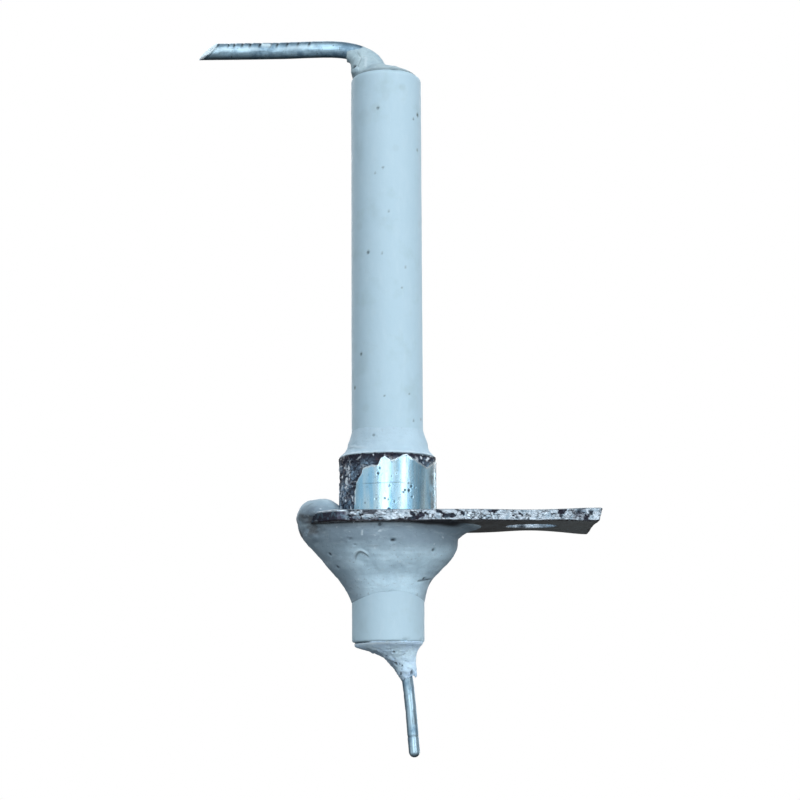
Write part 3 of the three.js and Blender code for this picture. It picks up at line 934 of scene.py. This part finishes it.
def plate_side(rims, z, under, seed):
    """The upper or the lower face, a little uneven and stained; the lower one gets a painted shadow near the
    cone and is painted lighter towards the right end. Points, faces and masks.
    """
    points, faces = plate_face(rims, z, seed)
    x, y, _ = points.T
    inner = np.arange(len(points)) >= sum(len(rim) for rim in rims)
    stain = ramp(fractal(points, (2.4, 2.4, 1), 4, 63), 0.3, 0.7)
    shadowed = under * ramp(y, -3, -4.5) * between(x, 1, 2.5, 7, 8.5)
    masks = {"under": np.full(len(points), under), "rust": 0.35 * stain, "crack": shadowed,
             "flake": ramp(x, 12, 18), "edge": np.zeros(len(points))}
    points[:, 2] += inner * 0.015 * fractal(points, 0.9, 3, 64)
    return points, faces, masks


def bracket_plate():
    outline = plate_outline()
    screw = circle(SCREW_HOLE_X, SCREW_HOLE_RADIUS, PLATE_SPACING)
    spigot = circle(0, SPIGOT_RADIUS + 0.07, 0.3)
    walls = [plate_wall(outline, PLATE_EDGE_ROWS, False), plate_wall(screw, PLATE_EDGE_ROWS, True),
             plate_wall(spigot, 2, True)]
    parts = [plate_edge(*wall, hole) for wall, hole in zip(walls, (False, True, True))]
    for row, z, under, seed in ((0, 0.0, 0.0, 61), (-1, PLATE_BOTTOM, 1.0, 62)):
        parts.append(plate_side([wall[row][:, :2] for wall, _, _ in walls], z, under, seed))
    points, faces = joined([part[:2] for part in parts])
    points[:, 2] += plate_warp(points)
    masks = {name: np.concatenate([part[2][name] for part in parts]) for name in parts[0][2]}
    sheet = make_piece("bracket_sheet", (points, faces), plate_finish(),
                       ["bracket_plate"], masks)
    weld(sheet)


# ---- collar

# Where the zinc skin ends, round from the back over the left, front and right: degrees and height.
SKIN_EDGE = [(-180, 5.0), (-150, 5.2), (-125, 4.2), (-105, 2.2), (-92, -0.6), (-43, -0.6), (-42, 0.3),
             (-41, 1.8), (-40, 2.9), (-33, 3.7), (-29, 4.2), (-17, 4.4), (-12, 4.6), (-8, 5.1), (-3, 5.25),
             (1, 5.0), (5, 4.85), (10, 5.0), (16, 5.45), (23, 5.55), (30, 5.1), (42, 4.75), (55, 4.4),
             (69, 5.0), (90, 5.3), (130, 4.9), (180, 5.0)]
# Bright flakes on the torn steel and pits in the skin: degrees, height, size and strength.
TORN_FLAKES = [(-58, 3.2, 0.5, 1), (-68, 3.75, 0.34, 1), (-75, 0.6, 0.4, 1), (-46, 1.3, 0.34, 1),
               (-47, 0.4, 0.26, 1), (-61, 2.5, 0.3, 0.9), (44, 5.3, 0.26, 1), (55, 5.05, 0.3, 0.9),
               (-33, 4.75, 0.24, 0.8), (-52, 4.5, 0.3, 0.8), (-80, 2.3, 0.3, 0.8), (150, 5.4, 0.3, 0.8),
               (-140, 5.5, 0.3, 0.8)]
SKIN_PITS = [(-11, 3.6, 0.17, 1), (-9, 4.1, 0.13, 0.8), (11, 3.6, 0.12, 0.7), (5, 3.3, 0.11, 0.7),
             (29, 2.4, 0.17, 1), (26, 2, 0.18, 1), (21, 2, 0.14, 0.9), (19, 1.8, 0.12, 0.8),
             (34, 2.3, 0.1, 0.7), (30, 1.4, 0.14, 0.8), (-3, 1.2, 0.13, 0.8), (8, 0.9, 0.2, 0.7),
             (2, 0.1, 0.24, 1)]
COLLAR_FOOT = 0.03
COLLAR_EDGE = 0.15
SCRATCH_Z = 2.7


def mounting_collar():
    staked = COLLAR_RADIUS - 0.02
    under = PLATE_BOTTOM - 0.05
    outer = densify(np.vstack([
        arc([COLLAR_RADIUS - 0.06, COLLAR_FOOT + 0.06], 0.06, -90, 0, 4),
        arc([COLLAR_RADIUS - COLLAR_EDGE, COLLAR_TOP - COLLAR_EDGE], COLLAR_EDGE, 0, 90, 6),
    ]), spacing=0.058)
    points, faces = closed_turned(np.vstack([
        [[COLLAR_BORE, COLLAR_BOTTOM], [SPIGOT_RADIUS, COLLAR_BOTTOM], [staked, COLLAR_BOTTOM + COLLAR_EDGE]],
        [[staked, under], [SPIGOT_RADIUS, under], [SPIGOT_RADIUS, COLLAR_FOOT]],
        outer,
        [[4.3, COLLAR_TOP], [COLLAR_BORE, COLLAR_TOP]],
    ]), sides=760)
    angle = around(points)
    height = points[:, 2]
    outside = ramp(from_axis(points), COLLAR_RADIUS - 0.4, COLLAR_RADIUS - 0.12) * (height > COLLAR_FOOT)
    edge = np.interp(angle + 3 * fractal(points, 0.9, 3, 89), *np.array(SKIN_EDGE, float).T)
    above = height - edge - 0.16 * fractal(points, 0.9, 4, 71)
    skin = ramp(above, 0.035, -0.035)
    side = bell(angle + 40.8, 1.0) * ramp(height, 3.1, 2.4) * ramp(noise(points, 0.4, 88), -0.6, 0)
    curl = most(bell(above + 0.08, 0.08), side) * skin
    crooked = bent(points, 0.42, 0.6, 3, 81)
    near, second, owner = cells(crooked, (0.62, 0.62, 0.5), 72)
    lumps = 0.12 * owner - 0.08 * ramp(second - near, 0.16, 0.02) + 0.05 * fractal(points, 0.35, 3, 73)
    rim_tear = ramp(height, COLLAR_TOP - 0.35, COLLAR_TOP) * ramp(fractal(points, 0.8, 3, 78), -0.1, 0.5)
    tiny = scattered_pits(points, 0.62, 0.3, 74) * ramp(noise(points, 1.6, 75), -0.2, 0.4)
    pit = most(spots_round(points, SKIN_PITS, COLLAR_RADIUS), 0.55 * ramp(tiny, 0.55, 0.95))
    scratch = bell(height - SCRATCH_Z - 0.02 * np.sin(angle / 9), 0.035) * ramp(np.abs(angle), 33, 29)
    scratch *= ramp(noise(points, (0.6, 0.6, 3), 76), -0.6, 0)
    plated = 0.012 * noise(points, (0.8, 0.8, 4), 77) - 0.05 * pit - 0.03 * scratch + 0.035 * curl
    torn = lumps - 0.1 * rim_tear - 0.13
    points = pushed_out(points, (skin * plated + (1 - skin) * torn) * outside)
    points[:, 2] -= 0.1 * rim_tear * (height > COLLAR_TOP - 0.2)
    # darker towards the right side and a little towards the left
    side_darkening = between(angle, 50, 66, 85, 100) + 0.25 * ramp(angle, -30, -42)
    # thin bright ridges on the torn steel: painted highlights
    ridge = bell(fractal(points, (1.1, 1.1, 0.7), 3, 79), 0.06) * ramp(noise(points, 0.8, 85), -0.5, 0.1)
    ragged = spots_round(crooked, TORN_FLAKES, COLLAR_RADIUS) + 0.5 * noise(points, (0.26, 0.26, 0.4), 86)
    flake = (1 - skin) * most(ramp(ragged, 0.35, 0.42), 0.75 * ridge * ramp(height, 0.5, 3))
    facet = (0.3 + 0.6 * owner) * ramp(second - near, 0.0, 0.16) * ramp(fractal(points, 1.8, 2, 87), -0.6, 0)
    make_piece("collar_ring", (points, faces), collar_finish(), ["mounting_collar"], {
        "skin": skin * outside,
        # painted highlight along the curled edge of the skin
        "rim": 0.85 * curl * outside,
        "pit": most(0.9 * pit, 0.5 * scratch) * skin * outside,
        "flake": flake * outside,
        "facet": facet * ramp(height, 5.6, 4.6),
        "side_darkening": side_darkening * ramp(fractal(points, 1.2, 3, 80), -0.6, 0.2),
    })


# ---- cement

# Specks in the fillet: degrees, height, size and strength.
FILLET_SPECKS = [(-21, 7.55, 0.24, 0.8), (-33, 7.2, 0.18, 0.5), (-60, 6.9, 0.2, 0.4)]
# Hollows in the cone's face: degrees, height, distance from the axis, size and depth.
CONE_PITS = [(5, -2.9, 5.9, 0.42, 0.3), (-30, -3.3, 6.3, 0.3, 0.18), (-5, -5.3, 4.75, 0.22, 0.15),
             (35, -6.6, 4.0, 0.22, 0.15), (-33, -2.75, 6.7, 0.45, 0.2), (60, -6.3, 4.1, 0.35, 0.15),
             (-24, -7.3, 3.8, 0.2, 0.1)]
# Level ovals of the cement bodies: height, left, right and half depth.
CONE = [(-0.5, -8.75, 7.6, 6.25), (-1.1, -8.78, 7.5, 6.25), (-1.9, -8.42, 6.9, 6.1), (-3.2, -7.35, 6.78, 5.9),
        (-4.2, -6.5, 6.3, 5.45), (-5.0, -5.85, 5.5, 5.0), (-6.4, -4.65, 4.15, 4.1), (-7.4, -4.0, 3.75, 3.8),
        (-8.5, -3.5, 3.5, 3.5)]
SMEAR = [(-0.9, -2, 9.3, 5.3), (-1.2, -2, 9.0, 5.2), (-1.45, -2, 8.3, 5.0), (-1.8, -2, 7.5, 4.8),
         (-2.2, -2, 6.95, 4.5)]
TIP_BASE = TUBE_TOP - 0.03
TIP_FILM = [(TIP_BASE, -3.1, 3.05, 3.05), (TIP_BASE + 0.1, -3.12, 3.06, 3.08),
            (TIP_BASE + 0.4, -2.95, 2.6, 2.75), (TIP_BASE + 0.8, -2.7, 1.6, 2.2),
            (TIP_BASE + 1.12, -2.3, 0.3, 1.4)]
TIP_MOUND = [(TIP_BASE - 0.1, -3.35, 1.7, 2.4), (44.55, -3.44, 0.75, 2.1), (44.9, -3.47, 0.25, 1.85),
             (45.5, -3.5, 0.02, 1.5), (46.1, -3.7, -0.6, 1.15), (46.6, -3.5, -1.4, 0.72)]
TAIL_BASE = TUBE_BOTTOM + 0.02
TAIL = [(TAIL_BASE, -3.3, 3.42, 3.4), (-12.5, -3.28, 3.3, 3.2), (-12.78, -3.0, 3.08, 2.7),
        (-13.4, -0.95, 2.75, 1.85), (-14.2, 0.05, 2.68, 1.3), (-15.2, 0.78, 2.72, 0.98),
        (-16.0, 1.2, 2.5, 0.66)]
COARSE_VOXEL = 0.1
FINE_VOXEL = 0.06


def collar_cement():
    """The fillet from the collar's rim up to the tube, thrown up a little where it was wiped."""
    bore = COLLAR_BORE + 0.03
    line = smooth_line([[4.6, COLLAR_TOP - 0.12], [4.66, COLLAR_TOP + 0.05], [4.3, 6.08], [3.98, 6.6],
                        [3.76, 7.3], [TUBE_RADIUS + 0.09, 8.0], [TUBE_RADIUS - 0.03, 8.5]], 64)
    profile = np.vstack([[[TUBE_RADIUS - 0.05, 2.6], [bore, 2.6], [bore, COLLAR_TOP - 0.2]], line])
    points, faces = closed_turned(profile, sides=320)
    angle = around(points)
    z = points[:, 2]
    outside = ramp(z, COLLAR_TOP - 0.25, COLLAR_TOP + 0.1)
    top = ramp(z, 6.4, 8.4)
    fold = bell(z - 6.5 + 0.012 * (angle + 50), 0.12) * between(angle, -78, -60, -40, -20)
    pit = most(ramp(scattered_pits(points, 0.95, 0.07, 93), 0.6, 0.95) * outside,
               spots_round(points, FILLET_SPECKS, TUBE_RADIUS + 0.15))
    depth = 0.07 * fractal(points, (1.6, 1.6, 0.9), 4, 91) + 0.02 * fractal(points, 0.4, 3, 92)
    depth += 0.05 * fold - 0.1 * pit + 0.16 * bell(z - 7.5, 0.7) * bell(angle - 90, 50)
    points = pushed_out(points, depth * outside * (1 - 0.8 * top))
    points[:, 2] += top * 0.28 * fractal(points * [1, 1, 0], 1.7, 3, 94)
    points[:, 2] -= 0.07 * (1 - top) * outside * (1 + noise(points, 0.5, 95))
    over_rim = points[:, 2] - COLLAR_TOP
    lip = bell(over_rim - 0.1, 0.09) * ramp(noise(points, 0.4, 96), -0.8, 0.2)
    # a darker copy of the cone's cement: painted shade
    finish = cement_finish("fillet_cement_painted_shade", (180, 208, 225), (172, 200, 217), 0.1)
    make_piece("collar_fillet", (points, faces), finish, ["collar_cement"], {
        "pit": 0.6 * pit,
        # painted shadow where the fillet meets the collar's rim
        "shade_and_grime": 0.6 * ramp(over_rim, 0.03, -0.06),
        # lighter along the fold and along the lip over the collar's rim
        "chalk_and_highlight": most(0.3 * fold, 0.7 * lip),
    })


def lower_cement():
    """A hand-pressed cone under the plate, with a lobe that wraps the plate's round end."""
    points, normals, faces = fused([
        oval_stack(CONE, 40, lift=lambda angles: 0.95 * np.maximum(0, -np.sin(angles - 0.12)) ** 2),
        ball([-6.6, 0.2, -0.2], [2.32, 4.4, 1.82]),
        oval_stack(SMEAR, 16),
        ball([-6.6, -1.2, -1.9], [1.6, 2.6, 1.2]),
        ball([-5.9, -3.9, -1.0], [1.2, 0.9, 0.5]),
        ball([-5.8, 2.9, -0.1], [1.8, 1.9, 0.95]),
    ], COARSE_VOXEL)
    angle = around(points)
    x, y, z = points.T
    depth = 0.13 * fractal(points, 2.6, 3, 101) + 0.06 * fractal(points, 0.9, 4, 102)
    depth += 0.16 * ramp(z, -0.6, 0.2) * fractal(points, 1.4, 2, 110)
    depth *= 1 - 0.7 * ramp(z, -7.0, -7.9)
    depth += 0.016 * noise(points, (3, 3, 0.32), 103) + 0.009 * noise(points, (1.6, 1.6, 0.16), 104)
    pit = np.zeros(len(points))
    for turn, height, out, size, deep in CONE_PITS:
        away = lengths((points - on_tube(turn, height, out)) / [1, 1, 0.6])
        depth -= deep * ramp(away, size, 0.2 * size)
        pit = most(pit, 0.9 * ramp(away, 0.75 * size, 0.2 * size))
    small = scattered_pits(points, 1.15, 0.13, 105)
    depth -= 0.12 * ramp(small, 0.4, 1)
    left = ramp(x, -5.2, -7.2) * between(z, -2.5, -1.9, -0.3, 0.1)
    depth -= 0.25 * left * ramp(fractal(points, (0.9, 0.9, 0.6), 3, 106), 0.0, 0.5) * ramp(y, -1.5, -3)
    # a flap of cement that curls off the face, over a fold painted dark as its shadow
    over_flap = z + 3.8 + 0.009 * (angle + 27) ** 2
    flap_run = between(angle, -37, -33, -22, -19)
    flap = bell(over_flap, 0.12) * flap_run
    below_flap = bell(over_flap + 0.2, 0.13) * flap_run
    depth += 0.12 * flap - 0.1 * below_flap
    # the gap under the plate's front edge, painted dark as its shadow
    gap_line = PLATE_BOTTOM - 0.1 - 0.3 * between(x, 2, 6.5, 7, 8)
    gap = ramp(z, gap_line - 0.12, gap_line + 0.02) * ramp(z, -0.7, -1.0) * ramp(y, -3, -4) * ramp(x, 9, 8)
    depth -= 0.2 * gap * ramp(x, 1.5, 3)
    crack = bell(z + 6.45 - 0.01 * (angle - 60), 0.07) * between(angle, 46, 52, 72, 82)
    depth -= 0.12 * crack
    points = points + normals * depth[:, None]
    x, y, _ = points.T
    # dirt patches, and a painted shade band just under the plate's front
    shade_and_grime = most(0.85 * left * ramp(fractal(points, 1.1, 3, 107), -0.5, 0.3),
                 0.5 * ramp(fractal(points, 1.6, 4, 108), 0.35, 0.8),
                 0.5 * ramp(z, -1.9, -1.15) * ramp(z, -0.7, -1.0) * ramp(np.abs(angle), 100, 60))
    shade = most(ramp(z + 0.35 * fractal(points, 2.5, 3, 131), -4.6, -2.6),
                 0.62 * ramp(np.abs(angle), 40, 80),
                 0.85 * ramp(angle, -22, -62) * ramp(angle, -170, -120)) * ramp(z, -0.8, -1.5)
    lobe_shade = 0.65 + 0.35 * fractal(points, 1.2, 3, 133) + 0.4 * ramp(z, 1.1, 0) * ramp(y, -1.5, -3.5)
    shade = most(shade, ramp(x, -3.5, -4.5) * ramp(z, -1.3, -0.9) * lobe_shade)
    finish = cement_finish("cement_dull", (197, 228, 245), (175, 206, 224), 0.3)
    make_piece("cone_cement", (points, faces), finish, ["lower_cement"], {
        "pit": most(pit, 0.7 * ramp(small, 0.75, 1), 0.8 * crack, gap, 0.6 * below_flap),
        "shade_and_grime": shade_and_grime,
        # chalky specks, and a painted highlight on the flap's curl
        "chalk_and_highlight": most(0.5 * ramp(noise(points, 0.4, 109), 0.8, 0.88), 0.25 * flap),
        "shade": 0.85 * shade,
    }, [solid_rod(TUBE_RADIUS - 0.04, -14, 6), solid_rod(COLLAR_RADIUS - 0.04, 0, 6), plate_cutter()])


def plate_cutter():
    """The plate's body, a hair smaller, which the cement around its round end is cut to."""
    line = plate_outline(-0.06, 0.3)
    levels = [np.column_stack([line, np.full(len(line), z)]) for z in (PLATE_BOTTOM + 0.05, -0.04)]
    return capped(np.array(levels))


def rod_coat():
    """The cement that coats the rod's bend, thinner towards its lower start."""
    centres, _ = wire_route(ROD_ROUTE, 0.2)
    bend = centres[(centres[:, 0] > -3.95) & (centres[:, 1] > TUBE_TOP - 0.1)]
    radii = np.interp(bend[:, 0], [-3.95, -3.6, -2.6, -1.8, -1], [0.8, 0.88, 0.89, 0.98, 1.0])
    bend[:, 1] += np.interp(bend[:, 0], [-3.9, -2.3, -1.6], [-0.34, -0.08, 0])
    return capped(wire_rings(bend, radii, 40)[0], cap_rows=2)


def tip_cement():
    """The cap on the tube's top and the mound that buries the rod's bend."""
    points, normals, faces = fused([
        oval_stack(TIP_FILM, 18),
        oval_stack(TIP_MOUND, 30),
        rod_coat(),
        solid_rod(TUBE_BORE - 0.05, 38, TIP_BASE + 0.2, 48),
        ball([-2.9, -0.9, 44.6], [0.6, 0.8, 0.5]),
        ball([-0.6, -0.7, 44.9], [0.8, 1.0, 0.5]),
    ], FINE_VOXEL)
    x, y, z = points.T
    out = ramp(z, TUBE_TOP - 0.4, TUBE_TOP)
    # a void at the mound's left foot, painted dark as the shade in it
    void = spots(points, [((-3.3, -1.1, 44.95), 0.5, 1)], (1, 1.4, 0.8))
    crack = bell(x + 2.7 + 0.25 * noise(points, 0.9, 111), 0.07) * ramp(y, 0, -0.4)
    crack *= between(z, 44.7, 45, 46.5, 46.9)
    pits = ramp(scattered_pits(points, 0.7, 0.2, 114), 0.4, 0.9)
    depth = 0.07 * fractal(points, 1.0, 3, 112) + 0.025 * fractal(points, 0.3, 3, 113)
    depth -= 0.3 * void + 0.05 * crack + 0.07 * pits
    points = points + normals * (depth * out)[:, None]
    x, y, z = points.T
    rim = ramp(from_axis(points), 2.6, 3.0) * ramp(z, TUBE_TOP + 0.4, TUBE_TOP + 0.1)
    # greyer and darker than the cone's cement: the grey is its own, the darkness painted shade
    finish = cement_finish("tip_cement_painted_shade", (170, 195, 205), (152, 178, 192), 0.2)
    make_piece("tip_cap_cement", (points, faces), finish, ["tip_cement"], {
        "pit": most(0.9 * void, 0.25 * crack, 0.4 * pits) * out,
        # darker along the tube's rim and at the mound's left edge
        "shade_and_grime": most(0.4 * rim, 0.25 * ramp(x, -3.4, -3.9)),
        "chalk_and_highlight": 0.4 * ramp(noise(points, 0.5, 115), 0.4, 0.7),
    })


def tail_cement():
    """The plug under the tube that runs down the terminal pin to a ragged end."""
    points, normals, faces = fused([
        oval_stack(TAIL, 44, lift=lambda angles: 0.3 + 0.3 * np.cos(angles)),
        ball([2.6, -0.15, -15.3], [0.14, 0.3, 0.34]),
        solid_rod(TUBE_BORE - 0.05, -6, TAIL_BASE - 0.3, 48),
    ], FINE_VOXEL)
    x, _, z = points.T
    out = ramp(z, TUBE_BOTTOM + 0.4, TUBE_BOTTOM)
    fringe = ramp(x, 2.6, 0.6) * ramp(x, -2.9, -1.6) * ramp(z, -12.8, -13.1)
    near, _, owner = cells(bent(points, 0.45, 0.5, 1, 127), (0.4, 0.5, 0.5), 121)
    pits = ramp(near - 0.4 * owner, 0.3, 0.05) * (owner < 0.6) * fringe
    notch = spots(points, [((2.28, -0.8, -15.3), 0.5, 1)], (0.4, 1, 1.1))
    # a groove under the tube's bottom on the left, painted dark as its shadow
    gap = ramp(x, -1.5, -2.2) * bell(z - TUBE_BOTTOM + 0.06, 0.08)
    depth = 0.07 * fractal(points, 1.1, 3, 122) + 0.035 * fractal(points, 0.35, 3, 123)
    depth += 0.09 * fringe * noise(points, 0.3, 126)
    depth -= 0.08 * ramp(z, -15.0, -15.8) * ramp(noise(points, 0.45, 124), -0.2, 0.4)
    depth -= 0.2 * (pits + notch + gap)
    from_left = x - np.interp(-z, [12.8, 13.4, 14.2, 15.2, 16], [-2.6, -0.95, 0.05, 0.78, 1.2])
    shade = ramp(from_left + 0.4 * fractal(points, 0.5, 3, 132), 0.9, 0.1) * ramp(z, -12.6, -13)
    points = points + normals * (depth * out)[:, None]
    # a painted highlight along the plug's top edge on the left, and chalky specks
    chalk_and_highlight = most(0.7 * bell(z - TUBE_BOTTOM + 0.2, 0.1) * ramp(points[:, 0], 1.5, -1),
                 0.4 * ramp(noise(points, 0.4, 125), 0.4, 0.7))
    # paler than the cone's cement: painted light
    finish = cement_finish("tail_cement_painted_light", (208, 238, 255), (192, 222, 250), 0.3)
    make_piece("tail_cement_plug", (points, faces), finish, ["tail_cement"], {
        "pit": most(0.8 * pits, 0.8 * notch, gap),
        "chalk_and_highlight": chalk_and_highlight * (1 - gap),
        "shade": 0.7 * shade,
    })


ceramic_tube()
spark_rod()
terminal_pin()
bracket_plate()
mounting_collar()
collar_cement()
lower_cement()
tip_cement()
tail_cement()
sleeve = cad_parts["joint_sleeve"]
sleeve.data.materials.clear()
sleeve.data.materials.append(brass_finish())

# ---- floor, light and camera

CAMERA_TILT = math.radians(9)
CAMERA_ROLL = math.radians(0.29)
CAMERA_DISTANCE = 206
CAMERA_LENS = 94.41
AIM = np.array([1.25, 0, 11.42])
FLOOR_Z = -70
FLOOR_BACK_Y = 1150
FLOOR_FAR = 6000
LIGHT_DISTANCE = 800
# The room is lighter in front, and darker at the right and below. For each axis: the two directions
# between which its brightness changes, and what it is there.
ROOM = [("Y", 0.35, -0.5, 0.1, 0.64), ("X", 0.2, 0.9, 1, 0.65), ("Z", -0.85, -0.3, 0.3, 1)]
# Soft boxes: azimuth and elevation in degrees, width and height in millimetres, power, and whether
# metal mirrors it. Azimuth 0 is the viewer's side.
LIGHTS = {
    "strip_front": (-5, 14, 340, 900, 1.5, True),
    "strip_right": (39, 14, 260, 900, 1.2, True),
    "box_above": (12, 66, 900, 600, 1.4, False),
    "panel_right": (115, 8, 600, 900, 0.7, True),
    "box_back": (195, 30, 900, 700, 5, True),
    "strip_back": (149, 12, 90, 900, 1, True),
    "key_right": (55, 20, 700, 900, 2.6, False),
}


def stage_floor():
    """A pale, even floor that shines by itself and neither lights the part nor shows in its metal."""
    wide = np.linspace(-FLOOR_FAR, FLOOR_FAR, 13)
    deep = np.linspace(-FLOOR_FAR, FLOOR_BACK_Y, 13)
    points = np.array([[x, y, FLOOR_Z] for y in deep for x in wide])
    count = len(wide)
    corners = [row * count + column for row in range(count - 1) for column in range(count - 1)]
    faces = [[corner, corner + 1, corner + count + 1, corner + count] for corner in corners]
    floor = linked("floor", mesh_of(points * MM, faces))
    m = Finish("floor_pale", Roughness=1.0, Specular_IOR_Level=0.0,
               Emission_Color=(1, 1, 1, 1), Emission_Strength=0.985)
    floor.data.materials.append(m.done(Base_Color=m.mix(m.noise(60, 3, 0.5), (18, 18, 18), (26, 26, 26))))
    floor.visible_glossy = False
    floor.visible_diffuse = False
    floor.visible_shadow = False


def soft_light(name, azimuth, elevation, width, height, power, mirrored):
    """A soft box aimed at the part."""
    turn = math.radians(azimuth)
    rise = math.radians(elevation)
    away = Vector((math.sin(turn) * math.cos(rise), -math.cos(turn) * math.cos(rise), math.sin(rise)))
    lamp = bpy.data.lights.new(name, "AREA")
    lamp.shape = "RECTANGLE"
    lamp.size = width * MM
    lamp.size_y = height * MM
    lamp.energy = power
    obj = linked(name, lamp)
    obj.location = Vector(AIM) * MM + away * LIGHT_DISTANCE * MM
    obj.rotation_mode = "QUATERNION"
    obj.rotation_quaternion = away.to_track_quat("Z", "Y")
    obj.visible_glossy = mirrored
    obj.visible_camera = False


def studio_world():
    """White to the camera, and the room to everything else."""
    world = bpy.data.worlds.new("studio")
    world.use_nodes = True
    w = Nodes(world.node_tree)
    place = w.node("ShaderNodeTexCoord", {}, "Generated")
    shares = []
    for axis, *limits in ROOM:
        direction = w.node("ShaderNodeSeparateXYZ", {0: place}, axis)
        shares.append(w.span(direction, *limits, interpolation_type="SMOOTHSTEP"))
    room = functools.reduce(functools.partial(w.math, "MULTIPLY"), shares)
    tint = w.mix(room, (0, 0, 0, 1), (0.97, 1, 1.03, 1))
    seen = w.mix(w.node("ShaderNodeLightPath", {}, "Is Camera Ray"), tint, (1, 1, 1, 1))
    w.tree.links.new(seen, w.tree.nodes["Background"].inputs["Color"])
    scene.world = world


def camera():
    right = np.array([1.0, 0.0, 0.0])
    ahead = np.array([0.0, math.cos(CAMERA_TILT), math.sin(CAMERA_TILT)])
    up = np.cross(right, ahead)
    cos, sin = math.cos(CAMERA_ROLL), math.sin(CAMERA_ROLL)
    right, up = cos * right - sin * up, sin * right + cos * up
    data = bpy.data.cameras.new("camera")
    data.lens = CAMERA_LENS
    data.sensor_width = 36
    data.clip_start = 0.01
    data.clip_end = 20
    obj = linked("camera", data)
    turn = Matrix(np.column_stack([right, up, -ahead]).tolist()).to_4x4()
    obj.matrix_world = Matrix.Translation(Vector((AIM - CAMERA_DISTANCE * ahead) * MM)) @ turn
    scene.camera = obj


stage_floor()
studio_world()
for name, values in LIGHTS.items():
    soft_light(name, *values)
camera()
scene.view_settings.view_transform = "Standard"
